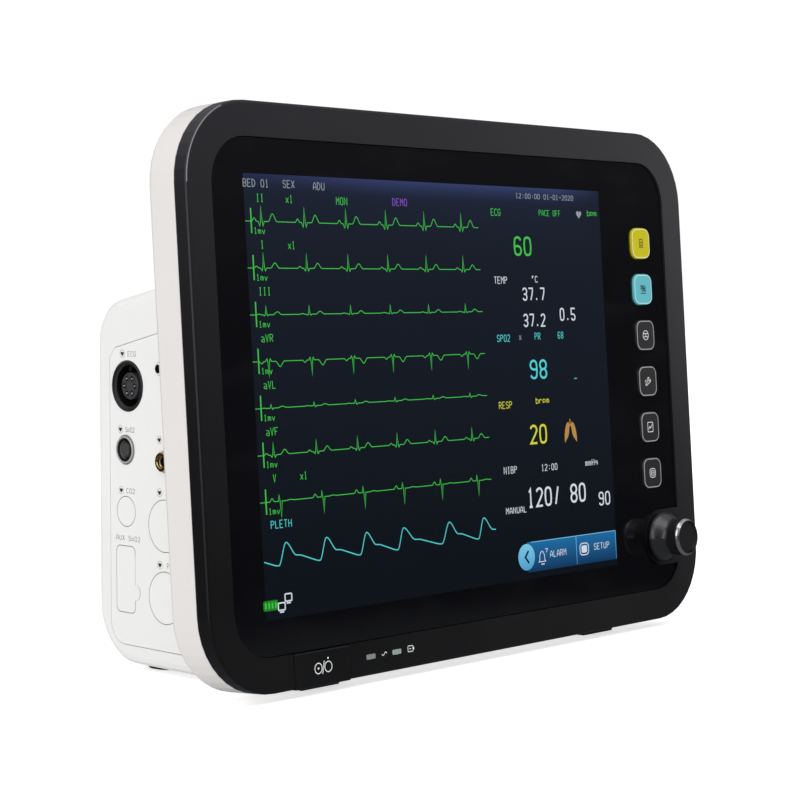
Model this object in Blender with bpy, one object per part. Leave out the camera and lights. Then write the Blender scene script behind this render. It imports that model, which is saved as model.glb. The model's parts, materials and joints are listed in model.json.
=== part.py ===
"""Patient monitor with a 12.1-inch screen: a black front that leans back, in a white housing ring, and an
upright white box behind it with the patient connectors in its left wall.

Every number is in millimetres and the meshes are made in metres. X runs along the front, Y into the depth
and Z up. Three empties hold the pieces: lean_frame (the tilted front), box_frame (the upright rear box) and
one frame on each side wall of the box. In lean_frame, Y is the depth behind the bezel's front face.
"""

import math

import bmesh
import bpy
from mathutils import Vector

MM = 0.001

# ---------------------------------------------------------------- driving sizes
CLEARANCE = 0.3
WALL = 2.5
LEAN_DEG = 4.0

FACE_WIDTH = 348.0
FACE_HEIGHT = 245.0
FACE_RADIUS = 35.0
BEZEL_DEPTH = 7.0
BEZEL_SKIN = 5.5
RING_DEPTH = 16.0
RING_BACK_RISE = 2.6

STRIP_WIDTH = 15.0
PANEL_X = -1.0
PANEL_THICKNESS = 2.0
PANEL_SUNK = 1.0

SCREEN_WIDTH = 246.0
SCREEN_HEIGHT = 184.5
SCREEN_MARGIN = 19.0
LCD_MARGIN = 8.0
LCD_DEPTH = 7.5

KEY_COUNT = 6
KEY_SIZE = 15.5
KEY_RADIUS = 4.5
KEY_PITCH = 23.15
KEY_EDGE_MARGIN = 20.5
KEY_TOP_MARGIN = 40.6
KEY_PROUD = 1.2
KEY_FLANGE = 1.5
KEY_TRAVEL = 0.8

KNOB_EDGE_MARGIN = 15.0
KNOB_LOW_MARGIN = 25.9
KNOB_FLARE_RADIUS = 12.6
KNOB_GRIP_RADIUS = 9.3
KNOB_NECK_RADIUS = 8.8
KNOB_NECK_FRONT = 9.0
KNOB_RING_WIDTH = 1.6
KNOB_RING_LENGTH = 2.5
KNOB_LENGTH = 16.0
KNOB_TRAVEL = 0.5
KNOB_LIFT = KNOB_TRAVEL + 0.1
LOBE_RADIUS = 14.0
SHAFT_RADIUS = 3.0
SHAFT_GAP = 0.4

POWER_MARGIN = 64.0
POWER_WIDTH = 34.0
POWER_TRAVEL = 1.0
LIGHT_STEPS = {"mains_light_pipe": 30.5, "battery_light_pipe": 47.4}
LIGHT_WIDTH = 5.8
LIGHT_HEIGHT = 2.2
LIGHT_RISE = 0.5

BOX_SIDE_STEP = 46.0
BOX_TOP_STEP = 67.0
BOX_TAPER_DEG = 5.0
BOX_BACK_Y = 118.0
BOX_TOP_SLOPE = 0.2
BOX_CORNER_RADIUS = 20.0
BOX_LOW_CORNER_RADIUS = 26.0
BOX_EDGE_RADIUS = 4.0

FOOT_HEIGHT = 2.8
MOUNT_PLATE_THICKNESS = 1.5
HANDLE_HALF_WIDTH = 56.0
HANDLE_THICKNESS = 12.0
HANDLE_ARM = 62.0
HANDLE_PIN_RADIUS = 2.5

# ---------------------------------------------------------------- places worked out from them
PANEL_WIDTH = FACE_WIDTH - 2 * STRIP_WIDTH
PANEL_HEIGHT = FACE_HEIGHT - 2 * STRIP_WIDTH
PANEL_RADIUS = FACE_RADIUS - STRIP_WIDTH
PANEL_RIGHT = PANEL_X + PANEL_WIDTH / 2
SCREEN_X = PANEL_X - PANEL_WIDTH / 2 + SCREEN_MARGIN + SCREEN_WIDTH / 2
KEY_X = PANEL_RIGHT - KEY_EDGE_MARGIN
KEY_TOP_Z = PANEL_HEIGHT / 2 - KEY_TOP_MARGIN
KNOB_X = PANEL_RIGHT - KNOB_EDGE_MARGIN
KNOB_Z = -PANEL_HEIGHT / 2 + KNOB_LOW_MARGIN
POWER_X = -FACE_WIDTH / 2 + POWER_MARGIN
LIGHT_XS = {name: POWER_X + step for name, step in LIGHT_STEPS.items()}
PANEL_BACK = PANEL_SUNK + PANEL_THICKNESS
LEDGE_FRONT = PANEL_BACK + CLEARANCE
LCD_FRONT = BEZEL_SKIN + CLEARANCE
LCD_BACK = LCD_FRONT + LCD_DEPTH
STRIP_Z = -(FACE_HEIGHT - STRIP_WIDTH) / 2
LIGHT_Z = STRIP_Z + LIGHT_RISE
RING_FRONT = BEZEL_DEPTH + CLEARANCE
RING_BACK = BEZEL_DEPTH + RING_DEPTH
HOUSING_BACK = RING_BACK + RING_BACK_RISE
KEY_FLANGE_FRONT = PANEL_BACK + 0.5
KEY_FLANGE_BACK = KEY_FLANGE_FRONT + 1.1
KEY_STEM_END = KEY_FLANGE_BACK + 1.4
KEY_BOARD_FRONT = KEY_STEM_END + KEY_TRAVEL + 1.2
KEYS_MIDDLE_Z = KEY_TOP_Z - KEY_PITCH * (KEY_COUNT - 1) / 2
KEY_ROW_LENGTH = KEY_PITCH * (KEY_COUNT - 1) + KEY_SIZE
BOX_HALF_WIDTH = FACE_WIDTH / 2 - BOX_SIDE_STEP
BOX_HEIGHT = FACE_HEIGHT - BOX_TOP_STEP
BOX_UNDERSIDE = FOOT_HEIGHT + CLEARANCE

lean = math.radians(LEAN_DEG)
taper = math.radians(BOX_TAPER_DEG)
top_slope_angle = math.atan(BOX_TOP_SLOPE)
TAPER_PIVOT_Y = BOX_BACK_Y - 38.0

# Heights in box_frame start at the underside of the rear box. The bezel's lower edge is a little above it,
# and the bounding box's middle is Y = 0.
FACE_Z = 0.8 + FACE_HEIGHT / 2 * math.cos(lean)
KNOB_FRONT_Y = -KNOB_LENGTH * math.cos(lean) + (KNOB_Z - KNOB_GRIP_RADIUS) * math.sin(lean)
FACE_Y = -(KNOB_FRONT_Y + BOX_BACK_Y) / 2


# ---------------------------------------------------------------- looks
def look(name, colour, roughness, metallic=0.0):
    """A Principled material for one kind of part."""
    material = bpy.data.materials.new(name)
    material.use_nodes = True
    shader = material.node_tree.nodes["Principled BSDF"]
    shader.inputs["Base Color"].default_value = (*colour, 1.0)
    shader.inputs["Roughness"].default_value = roughness
    shader.inputs["Metallic"].default_value = metallic
    return material


# ---------------------------------------------------------------- outlines: lists of (u, v)
def arc(centre, radius, start_deg, end_deg, steps):
    """Points from start_deg to end_deg, both ends included."""
    angles = [math.radians(start_deg + (end_deg - start_deg) * i / steps) for i in range(steps + 1)]
    return [(centre[0] + radius * math.cos(a), centre[1] + radius * math.sin(a)) for a in angles]


def rounded(width, height, radius, centre=(0.0, 0.0), steps=7):
    """A rectangle with round corners, anticlockwise from its right side."""
    reach_u, reach_v = width / 2 - radius, height / 2 - radius
    points = []
    for quarter, (side_u, side_v) in enumerate(((1, 1), (-1, 1), (-1, -1), (1, -1))):
        corner = (centre[0] + side_u * reach_u, centre[1] + side_v * reach_v)
        points += arc(corner, radius, 90 * quarter, 90 * quarter + 90, steps)
    return points


def rectangle(low, high):
    return [(low[0], low[1]), (high[0], low[1]), (high[0], high[1]), (low[0], high[1])]


def circle(radius, centre=(0.0, 0.0), steps=32):
    return arc(centre, radius, 0, 360 * (steps - 1) / steps, steps - 1)


def face_outline(inset):
    return rounded(FACE_WIDTH - 2 * inset, FACE_HEIGHT - 2 * inset, FACE_RADIUS - inset, steps=10)


def lobe_outline(radius):
    """The D around the knob, open to the right edge of the panel."""
    half_circle = arc((KNOB_X, KNOB_Z), radius, 90, 270, 16)
    beyond = PANEL_RIGHT + 4
    return half_circle + [(beyond, KNOB_Z - radius), (beyond, KNOB_Z + radius)]


def box_profile(inset, front_y):
    """The rear box from the side, as (y, z): a sloping top and two round rear corners."""
    low_radius = BOX_LOW_CORNER_RADIUS
    back = BOX_BACK_Y - BOX_CORNER_RADIUS
    drop = math.hypot(1.0, BOX_TOP_SLOPE)
    low = arc((BOX_BACK_Y - low_radius, low_radius), low_radius - inset, -90, 0, 8)
    top_centre = box_top_z(back) - BOX_CORNER_RADIUS * drop
    high = arc((back, top_centre), BOX_CORNER_RADIUS - inset, 0, 90 - math.degrees(top_slope_angle), 8)
    return [(front_y, inset), *low, *high, (front_y, box_top_z(front_y) - inset * drop)]


def box_top_z(y):
    return BOX_HEIGHT - BOX_TOP_SLOPE * (y - HOUSING_BACK)


def wall_x(y):
    """Half the width of the box at depth y."""
    return BOX_HALF_WIDTH + (TAPER_PIVOT_Y - y) * math.tan(taper)


# ---------------------------------------------------------------- solids
AXES = {
    "X": lambda along, u, v: (along, u, v),
    "Y": lambda along, u, v: (u, along, v),
    "Z": lambda along, u, v: (u, v, along),
}


def add_mesh(name, points, faces, material, frame, origin=(0.0, 0.0, 0.0)):
    """A mesh object whose origin is at the given place in its frame."""
    start = Vector(origin)
    mesh = bpy.data.meshes.new(name)
    mesh.from_pydata([(Vector(p) - start) * MM for p in points], [], faces)
    bm = bmesh.new()
    bm.from_mesh(mesh)
    bmesh.ops.recalc_face_normals(bm, faces=bm.faces)
    bm.to_mesh(mesh)
    bm.free()
    mesh.shade_smooth()
    mesh.set_sharp_from_angle(angle=math.radians(35))
    if material:
        mesh.materials.append(material)
    obj = bpy.data.objects.new(name, mesh)
    obj.location = start * MM
    obj.parent = frame
    bpy.context.collection.objects.link(obj)
    return obj


def skin(name, rings, material, frame, closed=False, origin=(0.0, 0.0, 0.0)):
    """A solid stretched over rings with the same number of points; closed joins the last ring to the first."""
    count, total = len(rings[0]), len(rings)
    points = [point for ring in rings for point in ring]
    faces = []
    for a in range(total if closed else total - 1):
        b = (a + 1) % total
        for i in range(count):
            j = (i + 1) % count
            faces.append((a * count + i, a * count + j, b * count + j, b * count + i))
    if not closed:
        faces += [tuple(range(count)), tuple(range((total - 1) * count, total * count))]
    return add_mesh(name, points, faces, material, frame, origin)


def slab(name, outline, low, high, material, frame, axis="Y", origin=(0.0, 0.0, 0.0)):
    """An outline pushed along an axis from low to high."""
    rings = [[AXES[axis](along, u, v) for u, v in outline] for along in (low, high)]
    return skin(name, rings, material, frame, origin=origin)


def block(name, low, high, material, frame, origin=(0.0, 0.0, 0.0)):
    return slab(name, rectangle(low[::2], high[::2]), low[1], high[1], material, frame, origin=origin)


def turned(name, profile, centre, material, frame, axis="Y", closed=False, steps=32, origin=(0.0, 0.0, 0.0)):
    """A round piece from (radius, place along the axis) pairs; closed makes a ring with a bore."""
    rings = [[AXES[axis](along, u, v) for u, v in circle(radius, centre, steps)] for radius, along in profile]
    return skin(name, rings, material, frame, closed=closed, origin=origin)


def helper(obj):
    """Marks a cutter or a shape that is joined to another."""
    obj.hide_render = True
    obj.display_type = "WIRE"
    return obj


def combine(target, others, operation):
    for other in others:
        modifier = target.modifiers.new(f"{operation.lower()}_{other.name}"[:60], "BOOLEAN")
        modifier.operation = operation
        modifier.object = helper(other)
    return target


def cut(target, *cutters):
    return combine(target, cutters, "DIFFERENCE")


def fuse(target, *others):
    return combine(target, others, "UNION")


def soften(obj, width, segments=2):
    modifier = obj.modifiers.new("soft_edges", "BEVEL")
    modifier.width = width * MM
    modifier.segments = segments
    modifier.limit_method = "ANGLE"
    modifier.angle_limit = math.radians(40)
    return obj


def frame_empty(name, location=(0.0, 0.0, 0.0), rotation=(0.0, 0.0, 0.0), parent=None):
    empty = bpy.data.objects.new(name, None)
    empty.location = Vector(location) * MM
    empty.rotation_euler = rotation
    empty.parent = parent
    bpy.context.collection.objects.link(empty)
    return empty


# ---------------------------------------------------------------- the leaning front
def make_bezel(frame, looks):
    rings = [[(x, y, z) for x, z in face_outline(inset)]
             for inset, y in ((1.2, 0.0), (0.4, 0.25), (0.0, 0.9), (0.0, BEZEL_DEPTH))]
    bezel = skin("front_bezel", rings, looks["black"], frame)
    hollow = slab("bezel_hollow", face_outline(WALL), BEZEL_SKIN, BEZEL_DEPTH + 2, None, frame)
    recess = slab("bezel_recess", rounded(PANEL_WIDTH, PANEL_HEIGHT, PANEL_RADIUS, (PANEL_X, 0), 8), -2,
                  LEDGE_FRONT, None, frame)
    cut(recess, slab("lobe_left_standing", lobe_outline(LOBE_RADIUS), -4, LEDGE_FRONT + 2, None, frame))
    window = slab("bezel_window", rounded(SCREEN_WIDTH + 3, SCREEN_HEIGHT + 3, 2, (SCREEN_X, 0)),
                  PANEL_SUNK, BEZEL_DEPTH, None, frame)
    channel = slab("bezel_key_channel",
                   rounded(KEY_SIZE + 2 * KEY_FLANGE + 2.5, KEY_ROW_LENGTH + 2 * KEY_FLANGE + 2.5, 2,
                           (KEY_X, KEYS_MIDDLE_Z)), PANEL_SUNK, BEZEL_DEPTH, None, frame)
    shaft_hole = slab("bezel_shaft_hole", circle(SHAFT_RADIUS + 0.9, (KNOB_X, KNOB_Z)), -2, BEZEL_DEPTH + 2,
                      None, frame)
    half_width = POWER_WIDTH / 2 + CLEARANCE
    notch = block("bezel_power_notch", (POWER_X - half_width, -2, -FACE_HEIGHT / 2 - 5),
                  (POWER_X + half_width, BEZEL_SKIN + 0.1, STRIP_Z + STRIP_WIDTH / 2), None, frame)
    slots = [slab(f"bezel_slot_{name}",
                  rounded(LIGHT_WIDTH + 2 * CLEARANCE, LIGHT_HEIGHT + 2 * CLEARANCE, 0.8, (x, LIGHT_Z), 3),
                  -2, BEZEL_DEPTH + 2, None, frame) for name, x in LIGHT_XS.items()]
    return cut(bezel, hollow, recess, window, channel, shaft_hole, notch, *slots)


def key_place(index):
    return (KEY_X, KEY_TOP_Z - index * KEY_PITCH)


def make_panel(frame, looks):
    outline = rounded(PANEL_WIDTH - 2 * CLEARANCE, PANEL_HEIGHT - 2 * CLEARANCE, PANEL_RADIUS - CLEARANCE,
                      (PANEL_X, 0), 8)
    panel = slab("front_panel", outline, PANEL_SUNK, PANEL_BACK, looks["gloss_black"], frame)
    lobe = slab("panel_notch", lobe_outline(LOBE_RADIUS + CLEARANCE), PANEL_SUNK - 2, PANEL_BACK + 2, None, frame)
    hole = KEY_SIZE + 2 * CLEARANCE
    holes = [slab(f"panel_key_hole_{i}", rounded(hole, hole, KEY_RADIUS + CLEARANCE, key_place(i), 4),
                  PANEL_SUNK - 2, PANEL_BACK + 2, None, frame) for i in range(KEY_COUNT)]
    return cut(panel, lobe, *holes)


KEY_NAMES = ("key_alarm_silence", "key_freeze", "key_record", "key_pressure_start", "key_review", "key_main_screen")


def make_keys(frame, looks):
    """Six keys: a cap through the panel, a flange that the panel holds back, and a stem to the switch."""
    front = PANEL_SUNK - KEY_PROUD
    colours = ["key_yellow", "key_cyan"] + ["key_black"] * (KEY_COUNT - 2)
    for index, (name, colour) in enumerate(zip(KEY_NAMES, colours)):
        x, z = key_place(index)
        sizes = ((KEY_SIZE - 1.4, KEY_RADIUS - 0.7, front), (KEY_SIZE - 0.4, KEY_RADIUS - 0.2, front + 0.25),
                 (KEY_SIZE, KEY_RADIUS, front + 0.8), (KEY_SIZE, KEY_RADIUS, KEY_FLANGE_FRONT),
                 (KEY_SIZE + 2 * KEY_FLANGE, KEY_RADIUS, KEY_FLANGE_FRONT),
                 (KEY_SIZE + 2 * KEY_FLANGE, KEY_RADIUS, KEY_FLANGE_BACK),
                 (4.0, 1.0, KEY_FLANGE_BACK), (4.0, 1.0, KEY_STEM_END))
        rings = [[(u, y, v) for u, v in rounded(size, size, radius, (x, z), 4)] for size, radius, y in sizes]
        skin(name, rings, looks[colour], frame, origin=(x, front, z))
    board = block("key_board", (KEY_X - 11.5, KEY_BOARD_FRONT, KEYS_MIDDLE_Z - KEY_ROW_LENGTH / 2 - 3),
                  (KEY_X + 11.5, KEY_BOARD_FRONT + 1.6, KEYS_MIDDLE_Z + KEY_ROW_LENGTH / 2 + 3),
                  looks["board"], frame)
    switches = []
    for index in range(KEY_COUNT):
        x, z = key_place(index)
        switches.append(block(f"key_switch_{index}", (x - 3, KEY_BOARD_FRONT - 0.9, z - 3),
                              (x + 3, KEY_BOARD_FRONT + 0.8, z + 3), None, frame))
    fuse(board, *switches)


def make_knob(frame, looks):
    """The knob and its shaft turn together; the plunger behind the shaft is what a push moves."""
    centre = (KNOB_X, KNOB_Z)
    place = (KNOB_X, 0.0, KNOB_Z)
    tip = -KNOB_LENGTH
    bore = SHAFT_RADIUS + SHAFT_GAP
    cap_radius = KNOB_GRIP_RADIUS - KNOB_RING_WIDTH
    ring_front = tip + KNOB_RING_LENGTH
    body = [(bore, tip + 4), (bore, -KNOB_LIFT), (KNOB_FLARE_RADIUS - 0.2, -KNOB_LIFT)]
    flare_front = -KNOB_LIFT - 0.5
    flare = KNOB_FLARE_RADIUS - KNOB_NECK_RADIUS
    for step in range(13):
        share = step / 12
        body.append((KNOB_NECK_RADIUS + flare * (1 + math.cos(math.pi * share)) / 2,
                     flare_front - (KNOB_NECK_FRONT + flare_front) * share))
    body += [(KNOB_GRIP_RADIUS, ring_front + CLEARANCE), (cap_radius - CLEARANCE, ring_front + CLEARANCE),
             (cap_radius - CLEARANCE, tip + 0.5)]
    turned("selector_knob", body, centre, looks["black"], frame, steps=40, origin=place)
    ring = [(cap_radius, ring_front), (KNOB_GRIP_RADIUS, ring_front), (KNOB_GRIP_RADIUS, tip + 1.5),
            (KNOB_GRIP_RADIUS - 0.3, tip + 0.7), (cap_radius + 0.6, tip), (cap_radius, tip)]
    turned("knob_trim_ring", ring, centre, looks["chrome"], frame, closed=True, steps=40, origin=place)
    shaft_end = KEY_BOARD_FRONT + 2.5
    turned("encoder_shaft", [(SHAFT_RADIUS, tip + 4 + CLEARANCE), (SHAFT_RADIUS, shaft_end)], centre,
           looks["steel"], frame, steps=24, origin=place)
    pocket = SHAFT_RADIUS + 2.2
    encoder_back = LCD_BACK + 1.2
    encoder = block("rotary_encoder", (KNOB_X - 7, BEZEL_DEPTH, KNOB_Z - 7), (KNOB_X + 7, encoder_back, KNOB_Z + 7),
                    looks["dark"], frame)
    pocket_shape = [(bore, BEZEL_DEPTH - 2), (bore, shaft_end - CLEARANCE), (pocket, shaft_end - CLEARANCE),
                    (pocket, encoder_back + 2)]
    cut(encoder, turned("encoder_pocket", pocket_shape, centre, None, frame, steps=24))
    plunger_front = shaft_end + CLEARANCE
    turned("encoder_plunger", [(pocket - 0.4, plunger_front), (pocket - 0.4, plunger_front + 1.2)], centre,
           looks["brass"], frame, steps=24, origin=(KNOB_X, plunger_front, KNOB_Z))


def make_power_key(frame, looks):
    """An L-shaped key that wraps the lower edge, its switch board and the two light pipes."""
    low = -FACE_HEIGHT / 2 - 0.3
    high = STRIP_Z + STRIP_WIDTH / 2 - CLEARANCE
    proud = -0.3
    lip_back = BEZEL_SKIN - POWER_TRAVEL - CLEARANCE
    outline = [(proud, high), (proud, low), (lip_back, low), (lip_back, low + WALL), (2.4, low + WALL + 1), (2.4, high)]
    left, right = POWER_X - POWER_WIDTH / 2, POWER_X + POWER_WIDTH / 2
    key = slab("power_button", outline, left, right, looks["black"], frame, axis="X",
               origin=(POWER_X, proud, STRIP_Z))
    soften(key, 0.5)
    board_front = BEZEL_SKIN + 3.8
    bump_front = board_front - 0.7
    stem_end = bump_front - POWER_TRAVEL - CLEARANCE
    stem_z = STRIP_Z + 1.5
    fuse(key, block("power_stem", (POWER_X - 3, 1.2, stem_z - 2), (POWER_X + 3, stem_end, stem_z + 2), None, frame))
    board = block("power_board", (left + 2, board_front, STRIP_Z - 3.2), (LIGHT_XS["battery_light_pipe"] + 10,
                  board_front + 1.6, STRIP_Z + 9), looks["board"], frame)
    fuse(board, block("power_switch", (POWER_X - 3, bump_front, stem_z - 3), (POWER_X + 3, board_front + 0.8,
                      stem_z + 3), None, frame))
    for name, x in LIGHT_XS.items():
        slab(name, rounded(LIGHT_WIDTH, LIGHT_HEIGHT, 0.6, (x, LIGHT_Z), 3), 0.0, board_front - CLEARANCE,
             looks[name], frame)


def housing_rings(grow):
    """The mid housing's outside as rings of the face outline, each grown or shrunk by the same amount."""
    steps = ((0.0, RING_FRONT), (0.0, RING_BACK - 2.0), (0.7, RING_BACK - 0.6), (2.4, RING_BACK + 0.4),
             (12.0, HOUSING_BACK))
    return [(inset - grow, y + (grow if i else 0.0)) for i, (inset, y) in enumerate(steps)]


def housing_solid(name, grow, front, material, frame):
    steps = housing_rings(grow)
    steps[0] = (steps[0][0], front)
    return skin(name, [[(x, y, z) for x, z in face_outline(inset)] for inset, y in steps], material, frame)


def handle_pivot():
    """The handle's hinge in box_frame, as (y, z)."""
    return (44.0, box_top_z(44.0) + HANDLE_THICKNESS / 2 + 5.0)


def make_mid_housing(lean_frame, box_frame, looks):
    """The white ring behind the bezel, with the opening into the rear box and the two ears of the handle."""
    housing = housing_solid("mid_housing", 0.0, RING_FRONT, looks["white"], lean_frame)
    hollow = housing_solid("mid_hollow", -WALL, RING_FRONT - 3, None, lean_frame)
    way_through = block("mid_opening", (-BOX_HALF_WIDTH + 8, RING_FRONT + 4, -FACE_HEIGHT / 2 + 16),
                        (BOX_HALF_WIDTH - 8, HOUSING_BACK + 8, BOX_HEIGHT - FACE_Z - 15), None, lean_frame)
    y, z = handle_pivot()
    ear_side = HANDLE_HALF_WIDTH + HANDLE_THICKNESS / 2 + 0.5
    ears = []
    for side in (-1, 1):
        low = box_top_z(HOUSING_BACK) + 1.5
        outline = [(HOUSING_BACK + 1, low), (y - 2, low), *arc((y, z), 9, -45, 90, 8), (HOUSING_BACK + 1, z + 9)]
        ends = sorted((side * ear_side, side * (ear_side + 5)))
        ears.append(slab(f"handle_ear_{side}", outline, *ends, None, box_frame, axis="X"))
    fuse(housing, *ears)
    cut(housing, hollow, way_through)
    pin_holes = turned("handle_pin_holes", [(HANDLE_PIN_RADIUS + CLEARANCE, -90), (HANDLE_PIN_RADIUS + CLEARANCE, 90)],
                       (y, z), None, box_frame, axis="X", steps=20)
    return cut(housing, pin_holes)


# ---------------------------------------------------------------- the upright rear box
def box_solid(name, inset, front_y, material, frame):
    """The box as rings from side to side: rounded along its side edges, and narrower towards the back."""
    edge = BOX_EDGE_RADIUS - inset
    reach = BOX_HALF_WIDTH - BOX_EDGE_RADIUS
    turns = [math.radians(angle) for angle in (90, 60, 30, 0)]
    right = [(reach + edge * math.sin(a), inset + edge * (1 - math.cos(a))) for a in reversed(turns)]
    stations = [(-x, depth) for x, depth in reversed(right)] + right
    rings = []
    for x, depth in stations:
        rings.append([(x * wall_x(y) / BOX_HALF_WIDTH, y, z) for y, z in box_profile(depth, front_y)])
    return skin(name, rings, material, frame)


VENT_COUNT = 9
VENT_PITCH = 8.0
SPEAKER = (-62.0, 118.0)
AC_INLET = (-30.0, 30.0)
FUSE = (-58.0, 30.0)
EARTH = (-84.0, 30.0)
NETWORK = (-80.0, 74.0)
SERVICE = (-50.0, 74.0)
SCREW_X = BOX_HALF_WIDTH - 21
SCREW_ZS = (52.0, 132.0)
SCREW_HEAD_RADIUS = 3.8


def back_cutters(frame):
    """What is cut out of the back wall, over its whole thickness."""
    near, far = BOX_BACK_Y - WALL - 3, BOX_BACK_Y + 3
    cutters = [slab(f"vent_{i}", rounded(86, 3.6, 1.7, (50.0, 60.0 + i * VENT_PITCH), 3), near, far, None, frame)
               for i in range(VENT_COUNT)]
    for i in range(-2, 3):
        width = 2 * math.sqrt(19.0 ** 2 - (6 * i) ** 2) - 6
        outline = rounded(width, 2.8, 1.3, (SPEAKER[0], SPEAKER[1] + 6 * i), 3)
        cutters.append(slab(f"speaker_slot_{i}", outline, near, far, None, frame))
    for name, (place, width, height) in SOCKETS.items():
        cutters.append(slab(f"hole_{name}", rounded(width + 2 * CLEARANCE, height + 2 * CLEARANCE, 1.5, place, 3),
                            near, far, None, frame))
    for name, place, radius in (("fuse", FUSE, 7.0), ("earth", EARTH, 5.0)):
        cutters.append(slab(f"hole_{name}", circle(radius + CLEARANCE, place), near, far, None, frame))
    for index, place in enumerate(screw_places()):
        cutters.append(slab(f"hole_screw_{index}", circle(SCREW_HEAD_RADIUS + CLEARANCE, place, 24), near, far,
                            None, frame))
    return cutters


def screw_places():
    return [(side * SCREW_X, z) for side in (-1, 1) for z in SCREW_ZS]


SOCKETS = {
    "ac_inlet": (AC_INLET, 28.0, 20.0),
    "network_port": (NETWORK, 16.0, 14.0),
    "service_port": (SERVICE, 30.0, 12.0),
}


SIDE_FRONT_Y = -42.0
SIDE_REAR_Y = 28.0
SIDE_LOW_Z = 8.5
SIDE_TOP_Z = 136.7


def side_outline(grow):
    """The connector wall's outline as (depth, height), with the seam sloping down to the rear."""
    low, rear = SIDE_LOW_Z, SIDE_REAR_Y
    return [(SIDE_FRONT_Y - grow, low - grow), *arc((rear - 10, low + 10), 10 + grow, -90, 0, 5),
            (rear + grow, SIDE_TOP_Z), (rear - 4, SIDE_TOP_Z + 4.5 + grow), (SIDE_FRONT_Y - grow, SIDE_TOP_Z + 19 + grow)]


CONNECTORS = {
    "ecg_socket": ((14.8, 124.2), 11.2, 10.0),
    "spo2_socket": ((16.5, 95.8), 6.4, 3.9),
    "temp_jack_1": ((-8.0, 132.4), 2.6, 1.5),
    "temp_jack_2": ((-16.5, 132.4), 2.6, 1.5),
    "nibp_connector": ((-11.6, 92.0), 4.5, 2.2),
}
BLANKS = {
    "co2_blank": ((16.2, 68.3), 6.6),
    "pressure_blank_1": ((-11.6, 63.8), 11.4),
    "pressure_blank_2": ((-11.6, 32.2), 11.4),
}
AUX_PLACE = (16.7, 38.0)
AUX_SIZE = (13.4, 29.5)
AUX_BUMP_RADIUS = 3.6
AUX_BUMP_DROP = 5.5
AUX_CORNER_RADIUS = 2.4


def aux_outline(grow):
    """The blank: a rectangle with round corners and a half-round bump on its front side."""
    half_y, half_z = AUX_SIZE[0] / 2 + grow, AUX_SIZE[1] / 2 + grow
    y, z = AUX_PLACE
    radius = AUX_CORNER_RADIUS + grow
    corners = [arc((y + a * (half_y - radius), z + b * (half_z - radius)), radius, start, start + 90, 4)
               for a, b, start in ((1, -1, -90), (1, 1, 0), (-1, 1, 90), (-1, -1, 180))]
    bump = arc((y - half_y, z - AUX_BUMP_DROP), AUX_BUMP_RADIUS, 90, 270, 8)
    return [*corners[0], *corners[1], *corners[2], *bump, *corners[3]]


# Each tab as (first depth, last depth, height of the edge it reaches over, +1 at the top or -1 at the bottom).
TAB_PLACES = ((-38.0, -26.0, SIDE_LOW_Z, -1), (2.0, 14.0, SIDE_LOW_Z, -1), (-38.0, -28.0, SIDE_TOP_Z + 15.5, 1),
              (-5.0, 4.0, SIDE_TOP_Z + 8.7, 1))


def make_tab(index, near, far, edge, direction, frame):
    """A tab that reaches behind the cover's wall from the connector wall's inner face."""
    step = WALL + CLEARANCE
    outline = [(WALL - 0.6, edge - 6 * direction), (step + 1.5, edge - 6 * direction),
               (step + 1.5, edge + 3.5 * direction), (step, edge + 3.5 * direction),
               (step, edge - 1 * direction), (WALL - 0.6, edge - 1 * direction)]
    rings = [[(x, y, z) for x, z in outline] for y in (near, far)]
    return skin(f"side_tab_{index}", rings, None, frame)


def make_side_panel(frame, looks):
    """The connector wall. X is the depth into the box from the wall's outer face."""
    panel = slab("side_panel", side_outline(-CLEARANCE), 0.0, WALL, looks["white"], frame, axis="X")
    fuse(panel, *[make_tab(index, *place, frame) for index, place in enumerate(TAB_PLACES)])
    holes = [slab(f"side_hole_{name}", circle(radius + CLEARANCE, place), -3, WALL + 3, None, frame, axis="X")
             for name, (place, radius, *_) in {**CONNECTORS, **BLANKS}.items()]
    holes.append(slab("side_hole_aux", aux_outline(CLEARANCE), -3, WALL + 3, None, frame, axis="X"))
    return cut(panel, *holes)


def make_connectors(frame, looks):
    inside = WALL + CLEARANCE
    colours = {"spo2_socket": "grey", "nibp_connector": "brass", "temp_jack_1": "dark", "temp_jack_2": "dark",
               "ecg_socket": "dark"}
    proud = {"ecg_socket": 0.5, "spo2_socket": 0.5, "nibp_connector": 1.0, "temp_jack_1": 0.6, "temp_jack_2": 0.6}
    for name, (place, radius, bore) in CONNECTORS.items():
        floor = 11.0
        front = -proud[name]
        profile = [(bore, floor), (bore, front + 0.4), (bore + 0.3, front), (radius - 0.4, front),
                   (radius, front + 0.4), (radius, inside), (radius + 1.2, inside), (radius + 1.2, inside + 1.4),
                   (radius - 0.3, inside + 1.4), (radius - 0.3, floor + 3)]
        turned(name, profile, place, looks[colours[name]], frame, axis="X")
    for name, (place, radius) in BLANKS.items():
        profile = [(radius, 0.0), (radius, inside), (radius + 1.2, inside), (radius + 1.2, inside + 1.2)]
        turned(name, profile, place, looks["white"], frame, axis="X")
    slab("aux_blank", aux_outline(0.0), 0.0, WALL, looks["white"], frame, axis="X")


def make_rear_cover(box_frame, lean_frame, left_frame, right_frame, looks):
    cover = box_solid("rear_cover", 0.0, 18.0, looks["white"], box_frame)
    hollow = box_solid("cover_hollow", WALL, 8.0, None, box_frame)
    front_shape = housing_solid("cover_front_shape", CLEARANCE, -20.0, None, lean_frame)
    side_hole = slab("cover_side_hole", side_outline(0.0), -3, WALL + 3, None, left_frame, axis="X")
    door_hole = slab("cover_door_hole", door_outline(CLEARANCE), -WALL - 3, 3, None, right_frame, axis="X")
    return cut(cover, hollow, front_shape, side_hole, door_hole, *back_cutters(box_frame))


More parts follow.
